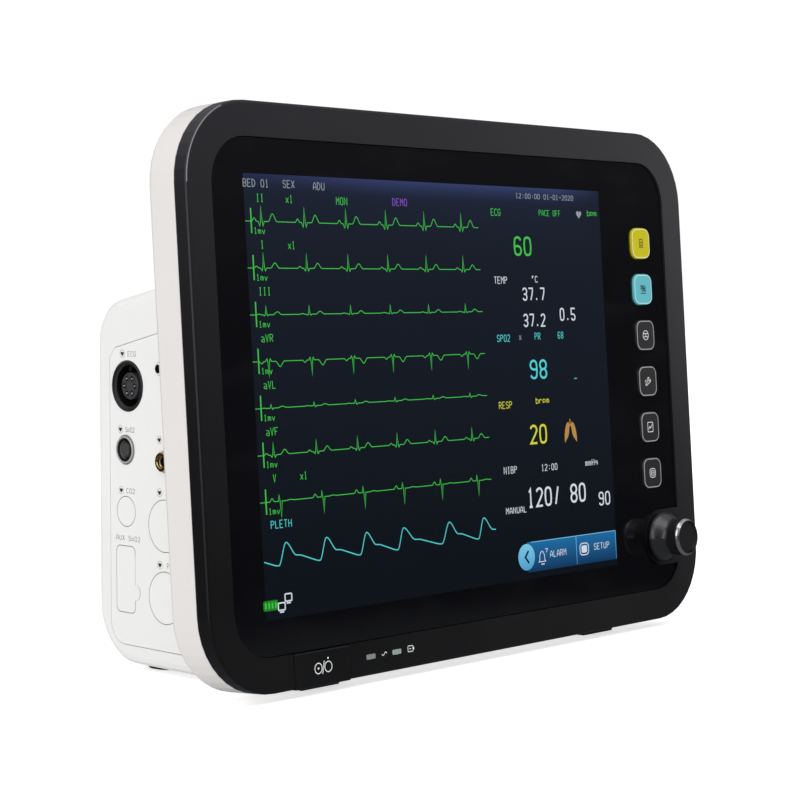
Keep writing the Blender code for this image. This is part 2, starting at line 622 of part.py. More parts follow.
DOOR_LOW, DOOR_HIGH = (-30.0, 11.0), (24.0, 42.0)


def door_outline(grow):
    middle = [(a + b) / 2 for a, b in zip(DOOR_LOW, DOOR_HIGH)]
    size = [b - a + 2 * grow for a, b in zip(DOOR_LOW, DOOR_HIGH)]
    return rounded(*size, 3 + grow, middle, 4)


def make_battery(frame, looks):
    """The battery bay in the right wall. X is 0 on the wall's outer face and negative inside."""
    slab("battery_door", door_outline(0.0), -WALL, 0.0, looks["white"], frame, axis="X",
         origin=(0.0, 0.0, DOOR_LOW[1]))
    gap = 1.5
    inner_low = (-96.0, DOOR_LOW[0] + 1, DOOR_LOW[1] + 1)
    inner_high = (-WALL - 2 * CLEARANCE, DOOR_HIGH[0] - 1, DOOR_HIGH[1] - 1)
    tray = block("battery_tray", [v - 1.5 for v in inner_low],
                 (inner_high[0] - 1, inner_high[1] + 1.5, inner_high[2] + 1.5), looks["dark"], frame)
    cut(tray, block("tray_hollow", inner_low, (inner_high[0] + 5, inner_high[1], inner_high[2]), None, frame))
    pack = block("battery_pack", [v + gap for v in inner_low],
                 (inner_high[0] - 3, inner_high[1] - gap, inner_high[2] - gap), looks["board_blue"], frame)
    soften(pack, 1.5)


def make_back_pieces(frame, looks):
    """What sits in the back wall: sockets, fuse, earth stud, speaker and the four screws."""
    face = BOX_BACK_Y - 0.2
    for name, (place, width, height) in SOCKETS.items():
        body = slab(name, rounded(width, height, 1.2, place, 3), face - 22, face, looks["dark"], frame)
        cut(body, slab(f"{name}_mouth", rounded(width - 5, height - 4, 1.0, place, 3), face - 14, face + 3,
                       None, frame))
    turned("fuse_holder", [(6.0, face - 24), (6.0, face - 4), (7.0, face - 4), (7.0, face - 0.5), (6.6, face)],
           FUSE, looks["dark"], frame)
    turned("earth_terminal", [(3.0, face - 12), (3.0, face - 3), (5.0, face - 3), (5.0, face - 1.5),
                              (3.0, face - 1.5), (3.0, face)], EARTH, looks["brass"], frame)
    turned("speaker", [(9.0, face - 17), (14.0, face - 15), (19.5, face - 6), (19.5, BOX_BACK_Y - WALL - CLEARANCE)],
           SPEAKER, looks["dark"], frame)
    for index, place in enumerate(screw_places()):
        turned(f"rear_screw_{index + 1}", [(1.8, face - 16), (1.8, face - 2.4), (SCREW_HEAD_RADIUS, face - 2.4),
                                           (SCREW_HEAD_RADIUS, face - 0.6), (SCREW_HEAD_RADIUS - 0.6, face)],
               place, looks["steel"], frame, steps=16)


def make_inside(lean_frame, box_frame, left_frame, looks):
    """The screen module, its plate and what the box holds."""
    width, height = SCREEN_WIDTH + 2 * LCD_MARGIN, SCREEN_HEIGHT + 2 * LCD_MARGIN
    slab("lcd_module", rounded(width, height, 2, (SCREEN_X, 0), 3), LCD_FRONT, LCD_BACK, looks["steel"], lean_frame)
    plate_front = LCD_BACK + CLEARANCE
    slab("chassis_plate", rounded(width + 4, height + 4, 4, (SCREEN_X, 0), 3), plate_front, plate_front + 1.2,
         looks["steel"], lean_frame)
    board_front = plate_front + 3.5
    main_board = block("main_board", (-95, board_front, -80), (85, board_front + 1.6, 70), looks["board"], lean_frame)
    parts = (("heat_sink", (-30, -10), (15, 35)), ("memory", (30, -5), (70, 20)), ("sockets", (-90, -78), (20, -66)))
    fuse(main_board, *[block(f"board_{name}", (low[0], board_front + 0.8, low[1]),
                             (high[0], HOUSING_BACK - WALL - 1.2, high[1]), None, lean_frame)
                       for name, low, high in parts])
    parameter_board = block("parameter_board", (22, -26, 22), (23.6, 24, 142), looks["board"], left_frame)
    fuse(parameter_board, block("parameter_shield", (23, -20, 80), (31, 18, 136), None, left_frame))
    side, back = BOX_HALF_WIDTH, BOX_BACK_Y
    supply = block("power_supply", (side - 114, back - 68, 52), (side - 16, back - 20, 55), looks["board"], box_frame)
    fuse(supply, block("supply_transformer", (side - 102, back - 58, 54), (side - 70, back - 28, 84), None, box_frame),
         block("supply_heat_sink", (side - 58, back - 60, 54), (side - 52, back - 24, 88), None, box_frame),
         block("supply_capacitor", (side - 40, back - 54, 54), (side - 24, back - 34, 80), None, box_frame))
    turned("nibp_pump", [(11, -66), (13.5, -64), (13.5, -24), (12, -22), (12, -2), (4, -2), (4, 3)], (62, 30),
           looks["steel"], box_frame, axis="X")
    turned("nibp_valve", [(8, -50), (8, -22), (3, -22), (3, -16)], (66, 62), looks["dark"], box_frame, axis="X",
           steps=24)


# ---------------------------------------------------------------- feet, plate and handle
FRONT_FOOT = (100.0, 25.0, 2.0, 14.2)
REAR_FOOT_SIZE = (26.0, 16.0)


def make_feet(box_frame, looks):
    """Rubber feet, flat on the ground; the tops of the front pair follow the leaning housing."""
    ground = -BOX_UNDERSIDE
    foot_x, foot_width, near, far = FRONT_FOOT
    half = foot_width / 2
    rear_x, rear_y = BOX_HALF_WIDTH - 24.5, BOX_BACK_Y - 28.3
    for side, name in ((-1, "left"), (1, "right")):
        x = side * foot_x
        top = [(x + u, y, y_underside(y) - CLEARANCE) for u, y in rectangle((-half, near), (half, far))]
        bottom = [(x + u, y, ground) for u, y in rectangle((1 - half, near + 0.8), (half - 1, far - 0.8))]
        skin(f"front_foot_{name}", [bottom, top], looks["rubber"], box_frame)
        width, depth = REAR_FOOT_SIZE
        rings = [[(u, v, z) for u, v in rounded(width - 2 * inset, depth - 2 * inset, 6 - inset,
                                                (side * rear_x, rear_y), 4)]
                 for inset, z in ((1.2, ground), (0.3, ground + 0.8), (0.0, -CLEARANCE))]
        skin(f"rear_foot_{name}", rings, looks["rubber"], box_frame)
    slab("mount_plate", rounded(104, 56, 6, (0.0, 66.0), 4), -CLEARANCE - MOUNT_PLATE_THICKNESS, -CLEARANCE,
         looks["steel"], box_frame, axis="Z")


def y_underside(y):
    """The height of the leaning housing's underside at depth y, in box_frame."""
    half = FACE_HEIGHT / 2
    return FACE_Z - half * math.cos(lean) - (y + half * math.sin(lean)) * math.tan(lean)


def make_handle(box_frame, looks):
    """A U folded down on the box. Its arms turn on two pins between the ears of the mid housing."""
    y, z = handle_pivot()
    handle_frame = frame_empty("handle_frame", (0.0, y, z), (-top_slope_angle, 0.0, 0.0), box_frame)
    half = HANDLE_THICKNESS / 2
    inner, outer = HANDLE_HALF_WIDTH - half, HANDLE_HALF_WIDTH + half
    root = arc((HANDLE_HALF_WIDTH, 0.0), half, 180, 360, 8)
    right = [*root, *arc((outer - 18, HANDLE_ARM - 12), 18, 0, 90, 6)]
    inner_right = arc((inner - 8, HANDLE_ARM - 12), 6, 0, 90, 4)
    left = [(-u, v) for u, v in reversed(right)]
    inner_left = [(-u, v) for u, v in inner_right]
    inner_right = [(u + 2, v) for u, v in inner_right]
    inner_left = [(u - 2, v) for u, v in inner_left]
    outline = right + left + inner_left + inner_right[::-1]
    handle = slab("carrying_handle", outline, -half, half, looks["grey_plastic"], handle_frame, axis="Z")
    soften(handle, 2.0, 2)
    cut(handle, turned("handle_bore", [(HANDLE_PIN_RADIUS + CLEARANCE, -90), (HANDLE_PIN_RADIUS + CLEARANCE, 90)],
                       (0.0, 0.0), None, handle_frame, axis="X", steps=20))
    for side, name in ((-1, "left"), (1, "right")):
        ends = sorted((side * (inner + 1.5), side * (outer + 5.3)))
        turned(f"handle_pin_{name}", [(HANDLE_PIN_RADIUS, ends[0]), (HANDLE_PIN_RADIUS, ends[1])], (y, z),
               looks["steel"], box_frame, axis="X", steps=20)


def main():
    for obj in list(bpy.data.objects):
        bpy.data.objects.remove(obj)
    looks = {
        "white": look("white_plastic", (0.80, 0.79, 0.77), 0.45),
        "black": look("black_plastic", (0.035, 0.035, 0.04), 0.42),
        "gloss_black": look("gloss_black", (0.008, 0.008, 0.01), 0.08),
        "key_yellow": look("key_yellow", (0.62, 0.52, 0.01), 0.35),
        "key_cyan": look("key_cyan", (0.12, 0.55, 0.60), 0.35),
        "key_black": look("key_black", (0.03, 0.03, 0.032), 0.35),
        "dark": look("dark_plastic", (0.02, 0.02, 0.022), 0.5),
        "grey": look("grey_plastic", (0.35, 0.35, 0.36), 0.4),
        "grey_plastic": look("handle_grey", (0.55, 0.55, 0.54), 0.5),
        "rubber": look("rubber", (0.02, 0.02, 0.02), 0.85),
        "chrome": look("chrome", (0.75, 0.75, 0.76), 0.12, 1.0),
        "steel": look("steel", (0.5, 0.5, 0.5), 0.35, 1.0),
        "brass": look("brass", (0.7, 0.5, 0.2), 0.3, 1.0),
        "board": look("circuit_board", (0.02, 0.18, 0.07), 0.5),
        "board_blue": look("battery_wrap", (0.05, 0.1, 0.3), 0.5),
        "mains_light_pipe": look("mains_light", (0.5, 0.5, 0.5), 0.3),
        "battery_light_pipe": look("battery_light", (0.5, 0.7, 0.6), 0.3),
    }
    box_frame = frame_empty("box_frame", (0.0, FACE_Y, BOX_UNDERSIDE))
    lean_frame = frame_empty("lean_frame", (0.0, 0.0, FACE_Z), (-lean, 0.0, 0.0), box_frame)
    left_frame = frame_empty("left_frame", (-BOX_HALF_WIDTH, TAPER_PIVOT_Y, 0.0), (0.0, 0.0, -taper), box_frame)
    right_frame = frame_empty("right_frame", (BOX_HALF_WIDTH, TAPER_PIVOT_Y, 0.0), (0.0, 0.0, taper), box_frame)
    make_bezel(lean_frame, looks)
    make_panel(lean_frame, looks)
    make_keys(lean_frame, looks)
    make_knob(lean_frame, looks)
    make_power_key(lean_frame, looks)
    make_mid_housing(lean_frame, box_frame, looks)
    make_rear_cover(box_frame, lean_frame, left_frame, right_frame, looks)
    make_side_panel(left_frame, looks)
    make_connectors(left_frame, looks)
    make_battery(right_frame, looks)
    make_back_pieces(box_frame, looks)
    make_inside(lean_frame, box_frame, left_frame, looks)
    make_feet(box_frame, looks)
    make_handle(box_frame, looks)


main()
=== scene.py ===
"""Bedside patient monitor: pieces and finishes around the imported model, laid out as a Blender add-on.

Lengths inside the functions are millimetres and become metres when a mesh is made. Each flat part of the
monitor has its own Wall: u to the right and v up as somebody facing it sees them, and w out of the surface.
"""

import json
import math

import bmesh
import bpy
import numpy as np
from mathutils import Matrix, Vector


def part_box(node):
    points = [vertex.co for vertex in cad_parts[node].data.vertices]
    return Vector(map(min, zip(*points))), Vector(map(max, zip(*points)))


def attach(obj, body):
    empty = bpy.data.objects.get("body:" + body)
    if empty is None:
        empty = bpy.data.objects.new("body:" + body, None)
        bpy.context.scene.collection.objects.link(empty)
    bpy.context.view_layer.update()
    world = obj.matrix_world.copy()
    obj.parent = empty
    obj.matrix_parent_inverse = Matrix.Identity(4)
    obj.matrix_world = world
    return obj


bl_info = {
    "name": "Patient monitor finish",
    "version": (1, 0, 0),
    "blender": (4, 5, 0),
    "location": "3D View > Sidebar > Monitor",
    "description": "Adds the lit picture, key marks, sockets and moulded finishes of a bedside patient monitor",
    "category": "Object",
}

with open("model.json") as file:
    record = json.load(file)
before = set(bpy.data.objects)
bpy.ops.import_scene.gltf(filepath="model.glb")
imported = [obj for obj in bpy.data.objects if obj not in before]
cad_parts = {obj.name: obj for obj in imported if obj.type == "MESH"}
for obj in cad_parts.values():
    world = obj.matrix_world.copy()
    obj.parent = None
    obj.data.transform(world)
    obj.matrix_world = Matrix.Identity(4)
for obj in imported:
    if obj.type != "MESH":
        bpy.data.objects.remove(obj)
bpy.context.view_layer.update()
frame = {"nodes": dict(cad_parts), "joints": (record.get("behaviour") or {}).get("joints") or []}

MM = 0.001
NODES = frame["nodes"]
JOINTS = {joint["name"]: joint for joint in frame["joints"]}
KEYS = ("key_alarm_silence", "key_freeze", "key_record", "key_pressure_start", "key_review", "key_main_screen")


def srgb(red, green, blue):
    """A screen colour from 0 to 255 as linear values: c/12.92, or ((c + 0.055) / 1.055) to the power 2.4."""
    parts = np.array([red, green, blue]) / 255
    return tuple(np.where(parts <= 0.04045, parts / 12.92, ((parts + 0.055) / 1.055) ** 2.4).tolist())


# ---------------------------------------------------------------- walls: the flat parts that pieces lie on
class Wall:
    """A flat part of the monitor with its right, up and out directions."""

    def __init__(self, right, up, out, origin=(0.0, 0.0, 0.0)):
        self.axes = np.array([right, up, out], float)
        self.origin = np.array(origin, float)

    def corners(self, node):
        """The (u, v, w) of a CAD node's vertices, in millimetres: each vertex times the three axes."""
        mesh = NODES[node].data
        places = np.empty(len(mesh.vertices) * 3)
        mesh.vertices.foreach_get("co", places)
        return (places.reshape(-1, 3) - self.origin) @ self.axes.T / MM

    def outer_face(self, node):
        """The (u, v) of the node's vertices that lie on the wall's outer face, each once."""
        local = self.corners(node)
        return np.unique(local[local[:, 2] > -0.05].round(3)[:, :2], axis=0)

    def measure(self, node):
        """The lowest and highest (u, v, w) of a CAD node, in millimetres."""
        local = self.corners(node)
        return local.min(0), local.max(0)

    def centre(self, node):
        """The middle (u, v, w) of a CAD node's box: half of its lowest plus its highest."""
        low, high = self.measure(node)
        return (low + high) / 2

    def place(self, points):
        """World points from (u, v, w): origin + u * right + v * up + w * out."""
        return self.origin + np.asarray(points, float) * MM @ self.axes


def front_wall():
    """The wall of the tilted front, from the knob's axis; w = 0 on the panel and u = v = 0 at its middle."""
    _, y, z = JOINTS["knob_turn"]["axis"]
    wall = Wall((1, 0, 0), (0, z, -y), (0, y, z))
    low, high = wall.measure("front_panel")
    middle = (low + high) / 2
    return Wall(wall.axes[0], wall.axes[1], wall.axes[2], wall.place([[middle[0], middle[1], high[2]]])[0])


def side_walls():
    """The tapered left and right walls, from the battery door's hinge; w = 0 on the connector wall and the door."""
    x, y, _ = JOINTS["battery_door_swing"]["axis"]
    left = Wall((x, -y, 0), (0, 0, 1), (-y, -x, 0))
    right = Wall((x, y, 0), (0, 0, 1), (y, -x, 0))
    left = Wall(*left.axes, left.place([[0, 0, left.measure("side_panel")[1][2]]])[0])
    right = Wall(*right.axes, right.place([[0, 0, right.measure("battery_door")[1][2]]])[0])
    return left, right


FRONT = front_wall()
LEFT, RIGHT = side_walls()
BACK = Wall((-1, 0, 0), (0, 0, 1), (0, 1, 0), (0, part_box("rear_cover")[1].y, 0))
SCREEN_U = FRONT.centre("lcd_module")[0]


# ---------------------------------------------------------------- shapes: (points, faces) in (u, v, w)
def grid_faces(rows, columns, wrap_rows=False, wrap_columns=True):
    """Four-sided faces between neighbouring points of a grid, worked out for the whole grid at once."""
    i = np.arange(rows if wrap_rows else rows - 1)[:, None]
    j = np.arange(columns if wrap_columns else columns - 1)[None, :]
    next_i, next_j = (i + 1) % rows, (j + 1) % columns
    corners = [i * columns + j, i * columns + next_j, next_i * columns + next_j, next_i * columns + j]
    return np.stack([np.broadcast_to(c, (i.size, j.size)) for c in corners], -1).reshape(-1, 4).tolist()


def stretched(rings, closed=False):
    """Rings of points joined one to the next; the first and the last are closed with a face unless they join."""
    rings = np.asarray(rings, float)
    rows, columns = rings.shape[:2]
    faces = grid_faces(rows, columns, wrap_rows=closed)
    if not closed:
        faces += [list(range(columns)), list(range((rows - 1) * columns, rows * columns))]
    return rings.reshape(-1, 3), faces


def plate(outline, low, high, edge=0.0):
    """An outline pushed from w = low to high, its top edge drawn in by edge on both axes for a soft rim."""
    outline = np.asarray(outline, float)
    middle = outline.mean(0)
    reach = np.abs(outline - middle).max(0)
    steps = [(0.0, low), (0.0, high - edge), (edge, high)] if edge else [(0.0, low), (0.0, high)]
    rings = [np.column_stack([middle + (outline - middle) * (1 - inset / reach), np.full(len(outline), w)])
             for inset, w in steps]
    return stretched(rings)


def stroke(path, width, low, high, closed=False):
    """A flat-topped line: each path point moved half the width along the mean of its two neighbours' normals."""
    path = np.asarray(path, float)
    if closed:
        before, after = np.roll(path, 1, 0), np.roll(path, -1, 0)
    else:
        before, after = np.vstack([path[:1], path[:-1]]), np.vstack([path[1:], path[-1:]])
    along_in, along_out = path - before, after - path
    if not closed:
        along_in[0], along_out[-1] = along_out[0], along_in[-1]
    normals = []
    for step in (along_in, along_out):
        step = step / np.maximum(np.linalg.norm(step, axis=1, keepdims=True), 1e-9)
        normals.append(np.column_stack([-step[:, 1], step[:, 0]]))
    mean = normals[0] + normals[1]
    mean /= np.maximum(np.linalg.norm(mean, axis=1, keepdims=True), 0.3)
    reach = width / 2 / np.maximum((mean * normals[0]).sum(1, keepdims=True), 0.45)
    left, right = path + mean * reach, path - mean * reach
    corners = [(left, low), (right, low), (right, high), (left, high)]
    rings = np.stack([np.column_stack([side, np.full(len(path), w)]) for side, w in corners], 1)
    return stretched(rings, closed)


def circle(radius, centre=(0.0, 0.0), steps=24, start=0.0, turn=360.0):
    """Points at equal angles: centre + radius * (cos, sin); a whole turn leaves out the last point."""
    angles = np.radians(start + turn * np.arange(steps if turn == 360 else steps + 1) / steps)
    return np.column_stack([np.cos(angles), np.sin(angles)]) * radius + centre


def rounded(width, height, radius, centre=(0.0, 0.0), steps=5):
    """A rectangle whose corners are quarter circles."""
    quarters = [circle(radius, (centre[0] + a * (width / 2 - radius), centre[1] + b * (height / 2 - radius)), steps,
                       start, 90) for a, b, start in ((1, 1, 0), (-1, 1, 90), (-1, -1, 180), (1, -1, 270))]
    return np.vstack(quarters)


def turned(profile, centre=(0.0, 0.0), steps=24, closed=False):
    """A profile of (radius, w) carried round an axis: (u, v) = centre + radius * (cos, sin)."""
    ring = circle(1.0, steps=steps)
    rings = [np.column_stack([ring * radius + centre, np.full(steps, w)]) for radius, w in profile]
    return stretched(rings, closed)


def joined(shapes):
    """Many shapes as one list of points and faces."""
    points, faces, count = [], [], 0
    for shape_points, shape_faces in shapes:
        points.append(shape_points)
        faces += [[index + count for index in face] for face in shape_faces]
        count += len(shape_points)
    return np.vstack(points), faces


GLYPHS = {
    # strokes on a grid 4 wide and 6 tall: each pair of digits is a point
    "0": "103041453616050110", "1": "152620 1030", "2": "05163645440040", "3": "05163645443313 334241301001",
    "4": "30360242", "5": "460603334241301001", "6": "4536160501103041423303", "7": "06464420",
    "8": "13040516364544331302011030414233", "9": "0110304145361605041343", "A": "0004264440 0242",
    "B": "00063645443303 3342413000", "C": "4536160501103041", "D": "00062644422000", "E": "46060040 0333",
    "F": "460600 0333", "G": "45361605011030414323", "H": "0006 4046 0343", "I": "1636 2620 1030", "L": "060040",
    "M": "0006234640", "N": "00064046", "O": "103041453616050110", "P": "00063645443303", "R": "00063645443303 2340",
    "S": "453616050413334241301001", "T": "0646 2620", "U": "060110304146", "V": "062046", "X": "0046 0640",
    "a": "0434434010011242", "b": "06003041433404", "g": "4414031242444130", "m": "0004344340 2420",
    "p": "00043443423101", "r": "0004 03143443", "x": "0044 0440", "o": "1030414334140301", "v": "042044",
    "°": "1436361614", "/": "1036", ":": "2122 2425", ".": "2021", "-": "0343", " ": "",
}
GLYPH_WIDTH, GLYPH_HEIGHT, GLYPH_STEP = 4.0, 6.0, 6.1


def eased(path):
    """A stroke whose gentle corners (under 55 degrees) become two points, 0.3 of the way to their neighbours."""
    if len(path) < 3:
        return path
    before, here, after = path[:-2], path[1:-1], path[2:]
    one, two = here - before, after - here
    lengths = np.linalg.norm(one, axis=1) * np.linalg.norm(two, axis=1)
    turn = (one * two).sum(1) / np.maximum(lengths, 1e-9)
    pairs = np.stack([here - 0.3 * one, here + 0.3 * two], 1)
    sharp = turn < math.cos(math.radians(55))
    pairs[sharp] = here[sharp][:, None]
    middle = pairs.reshape(-1, 2)
    keep = np.append(True, np.linalg.norm(np.diff(middle, axis=0), axis=1) > 1e-6)
    return np.vstack([path[:1], middle[keep], path[-1:]])


def letters(text, height, middle, width=None, line=None, low=0.04, high=0.12):
    """Evenly spaced lettering made of strokes: capitals are height tall, and the whole is width wide."""
    units = GLYPH_STEP * (len(text) - 1) + GLYPH_WIDTH
    width = width or units * height * 0.128
    line = line or (height * 0.115 if height > 6 else min(height * 0.12, width / units * 0.7))
    scale = np.array([(width - line) / units, (height - line) / GLYPH_HEIGHT])
    shapes = []
    for index, letter in enumerate(text):
        for digits in GLYPHS[letter].split():
            path = np.array(list(digits), float).reshape(-1, 2)
            path += (index * GLYPH_STEP - units / 2, -GLYPH_HEIGHT / 2)
            shapes.append(stroke(eased(path) * scale + middle, line, low, high))
    return joined(shapes)


def make_piece(name, wall, shapes, material, body, smooth_deg=35.0):
    """One object at the origin from shapes on a wall: doubles merged, faces turned outwards, riding on a body."""
    points, faces = joined(shapes)
    mesh = bpy.data.meshes.new(name)
    mesh.from_pydata(wall.place(points).tolist(), [], faces)
    bm = bmesh.new()
    bm.from_mesh(mesh)
    bmesh.ops.remove_doubles(bm, verts=bm.verts, dist=1e-7)
    bmesh.ops.recalc_face_normals(bm, faces=bm.faces)
    bm.to_mesh(mesh)
    bm.free()
    mesh.shade_smooth()
    mesh.set_sharp_from_angle(angle=math.radians(smooth_deg))
    mesh.materials.append(material)
    piece = bpy.data.objects.new(name, mesh)
    bpy.context.scene.collection.objects.link(piece)
    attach(piece, body)
    return piece


# ---------------------------------------------------------------- node groups and materials
def new_group(name, inputs, outputs):
    """An empty shader node group with named sockets, and its input and output nodes."""
    group = bpy.data.node_groups.new(name, "ShaderNodeTree")
    for socket, kind, default in inputs:
        made = group.interface.new_socket(name=socket, in_out="INPUT", socket_type=kind)
        if default is not None:
            made.default_value = default
    for socket, kind in outputs:
        group.interface.new_socket(name=socket, in_out="OUTPUT", socket_type=kind)
    return group, group.nodes.new("NodeGroupInput"), group.nodes.new("NodeGroupOutput")


def add_node(tree, kind, links=None, values=None, **settings):
    """A node with its settings, its constant inputs and its links: {input: output socket}."""
    made = tree.nodes.new(kind)
    for key, value in settings.items():
        setattr(made, key, value)
    for key, value in (values or {}).items():
        made.inputs[key].default_value = value
    for key, source in (links or {}).items():
        tree.links.new(source, made.inputs[key])
    return made


def noise(tree, vector, scale, detail=2.0):
    """The value of a noise texture, its scale in turns per metre."""
    return add_node(tree, "ShaderNodeTexNoise", {"Vector": vector}, {"Scale": scale, "Detail": detail}).outputs["Fac"]


def ramp(tree, value, low, high, to_low=0.0, to_high=1.0):
    """A value moved from the range low to high onto to_low to to_high, kept inside it."""
    return add_node(tree, "ShaderNodeMapRange", {"Value": value},
                    {"From Min": low, "From Max": high, "To Min": to_low, "To Max": to_high}).outputs["Result"]


def grain_group():
    """Moulded grain: two sizes of noise added for the height, and slow noise for tone and gloss."""
    group, start, end = new_group("moulded_grain", [("Vector", "NodeSocketVector", None),
                                                    ("Scale", "NodeSocketFloat", 900.0)],
                                  [("Height", "NodeSocketFloat"), ("Tone", "NodeSocketFloat")])
    coarse = add_node(group, "ShaderNodeTexNoise", {"Vector": start.outputs["Vector"], "Scale": start.outputs["Scale"]},
                      {"Detail": 3.0}).outputs["Fac"]
    finer = add_node(group, "ShaderNodeMath", {0: start.outputs["Scale"]}, {1: 3.1}, operation="MULTIPLY").outputs[0]
    fine = add_node(group, "ShaderNodeTexNoise", {"Vector": start.outputs["Vector"], "Scale": finer},
                    {"Detail": 1.0}).outputs["Fac"]
    height = add_node(group, "ShaderNodeMath", {0: coarse, 1: fine}, operation="ADD").outputs[0]
    slow = noise(group, start.outputs["Vector"], 14.0, 3.0)
    group.links.new(height, end.inputs["Height"])
    group.links.new(ramp(group, slow, 0.3, 0.7), end.inputs["Tone"])
    return group


def dust_group():
    """Dust that lies on upward faces: the normal's height, ramped from 0.35 to 1, times patchy noise."""
    group, start, end = new_group("dust", [("Vector", "NodeSocketVector", None), ("Amount", "NodeSocketFloat", 0.2)],
                                  [("Mask", "NodeSocketFloat")])
    normal = group.nodes.new("ShaderNodeNewGeometry").outputs["Normal"]
    up = add_node(group, "ShaderNodeSeparateXYZ", {0: normal}).outputs["Z"]
    level = ramp(group, up, 0.35, 1.0)
    patches = ramp(group, noise(group, start.outputs["Vector"], 90.0, 5.0), 0.35, 0.75)
    both = add_node(group, "ShaderNodeMath", {0: level, 1: patches}, operation="MULTIPLY").outputs[0]
    mask = add_node(group, "ShaderNodeMath", {0: both, 1: start.outputs["Amount"]}, operation="MULTIPLY").outputs[0]
    group.links.new(mask, end.inputs["Mask"])
    return group


def scuff_group():
    """Fine handling marks: noise stretched along one axis, kept only above a threshold."""
    group, start, end = new_group("scuffs", [("Vector", "NodeSocketVector", None), ("Amount", "NodeSocketFloat", 0.2)],
                                  [("Mask", "NodeSocketFloat")])
    stretched_vector = add_node(group, "ShaderNodeMapping", {"Vector": start.outputs["Vector"]},
                                {"Scale": (60.0, 420.0, 900.0), "Rotation": (0.5, 0.3, 0.2)}).outputs["Vector"]
    lines = ramp(group, noise(group, stretched_vector, 1.0, 4.0), 0.62, 0.72)
    areas = ramp(group, noise(group, start.outputs["Vector"], 30.0, 2.0), 0.45, 0.65)
    both = add_node(group, "ShaderNodeMath", {0: lines, 1: areas}, operation="MULTIPLY").outputs[0]
    mask = add_node(group, "ShaderNodeMath", {0: both, 1: start.outputs["Amount"]}, operation="MULTIPLY").outputs[0]
    group.links.new(mask, end.inputs["Mask"])
    return group


GROUPS = {}


def effect(tree, name, coords, **values):
    """One of the shared node groups, used in a material."""
    node = tree.nodes.new("ShaderNodeGroup")
    node.node_tree = GROUPS[name]
    tree.links.new(coords, node.inputs["Vector"])
    for key, value in values.items():
        node.inputs[key].default_value = value
    return node


def mixed(tree, mask, first, second):
    """One colour turning into another with a mask; a colour may be a tuple or a socket."""
    mix = add_node(tree, "ShaderNodeMix", data_type="RGBA")
    tree.links.new(mask, mix.inputs[0])
    for index, colour in ((6, first), (7, second)):
        if isinstance(colour, tuple):
            mix.inputs[index].default_value = (*colour, 1.0)
        else:
            tree.links.new(colour, mix.inputs[index])
    return mix.outputs[2]


def start_material(name):
    """A new material with its node tree, its shader and the object coordinates."""
    material = bpy.data.materials.new(name)
    material.use_nodes = True
    tree = material.node_tree
    return material, tree, tree.nodes["Principled BSDF"], tree.nodes.new("ShaderNodeTexCoord").outputs["Object"]


def sheen_towards_top_right(tree, coords):
    """How far up and to the right a point of the bezel is, where a painted sheen of light makes the black paler: Z to
    1.5, then X.
    """
    low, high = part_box("front_bezel")
    axes = add_node(tree, "ShaderNodeSeparateXYZ", {0: coords}).outputs
    height = add_node(tree, "ShaderNodeMath", {0: ramp(tree, axes["Z"], low.z + 0.015, high.z)}, {1: 1.5},
                      operation="POWER").outputs[0]
    side = ramp(tree, axes["X"], high.x - 0.03, high.x, 0.0, 0.45)
    return add_node(tree, "ShaderNodeMath", {0: height, 1: side}, operation="ADD", use_clamp=True).outputs[0]


def moulded(name, colour, roughness, grain=900.0, depth=0.00002, tone=0.06, dust=0.12, scuffs=0.1, metallic=0.0,
            worn_edge=None, **sockets):
    """A moulded or metal finish: grain in the bump, slow tone and gloss changes, scuffs and a little dust, and on
    request a painted sheen.
    """
    material, tree, shader, coords = start_material(name)
    texture = effect(tree, "moulded_grain", coords, Scale=grain)
    darker = tuple(part * (1 - tone) for part in colour)
    lighter = tuple(min(1.0, part * (1 + tone * 0.6) + 0.001) for part in colour)
    base = mixed(tree, texture.outputs["Tone"], darker, lighter)
    # painted sheen: the colour turns paler towards the top and right of the bezel, standing in for light falling on it
    if worn_edge:
        base = mixed(tree, sheen_towards_top_right(tree, coords), base, worn_edge)
    worn = effect(tree, "scuffs", coords, Amount=scuffs)
    pale = tuple(min(1.0, part * 0.7 + 0.16) for part in colour)
    base = mixed(tree, worn.outputs["Mask"], base, pale)
    dusty = effect(tree, "dust", coords, Amount=dust)
    base = mixed(tree, dusty.outputs["Mask"], base, (0.62, 0.61, 0.59))
    tree.links.new(base, shader.inputs["Base Color"])
    gloss = ramp(tree, texture.outputs["Tone"], 0.0, 1.0, roughness * 0.88, min(1.0, roughness * 1.12))
    tree.links.new(gloss, shader.inputs["Roughness"])
    bump = add_node(tree, "ShaderNodeBump", {"Height": texture.outputs["Height"]}, {"Strength": 0.5, "Distance": depth})
    tree.links.new(bump.outputs["Normal"], shader.inputs["Normal"])
    shader.inputs["Metallic"].default_value = metallic
    for key, value in sockets.items():
        shader.inputs[key.replace("_", " ")].default_value = value
    return material


def sheet_gloss(name, colour):
    """The black front sheet: polished, with faint finger smears that only change the gloss."""
    material, tree, shader, coords = start_material(name)
    smears = add_node(tree, "ShaderNodeMapping", {"Vector": coords}, {"Scale": (22.0, 22.0, 60.0),
                                                                      "Rotation": (0.2, 0.6, 0.1)}).outputs["Vector"]
    marks = ramp(tree, noise(tree, smears, 1.0, 6.0), 0.5, 0.75)
    tree.links.new(ramp(tree, marks, 0.0, 1.0, 0.06, 0.17), shader.inputs["Roughness"])
    tree.links.new(mixed(tree, marks, colour, tuple(part * 1.35 + 0.0006 for part in colour)),
                   shader.inputs["Base Color"])
    shader.inputs["IOR"].default_value = 1.49
    shader.inputs["Specular IOR Level"].default_value = 0.5
    return material


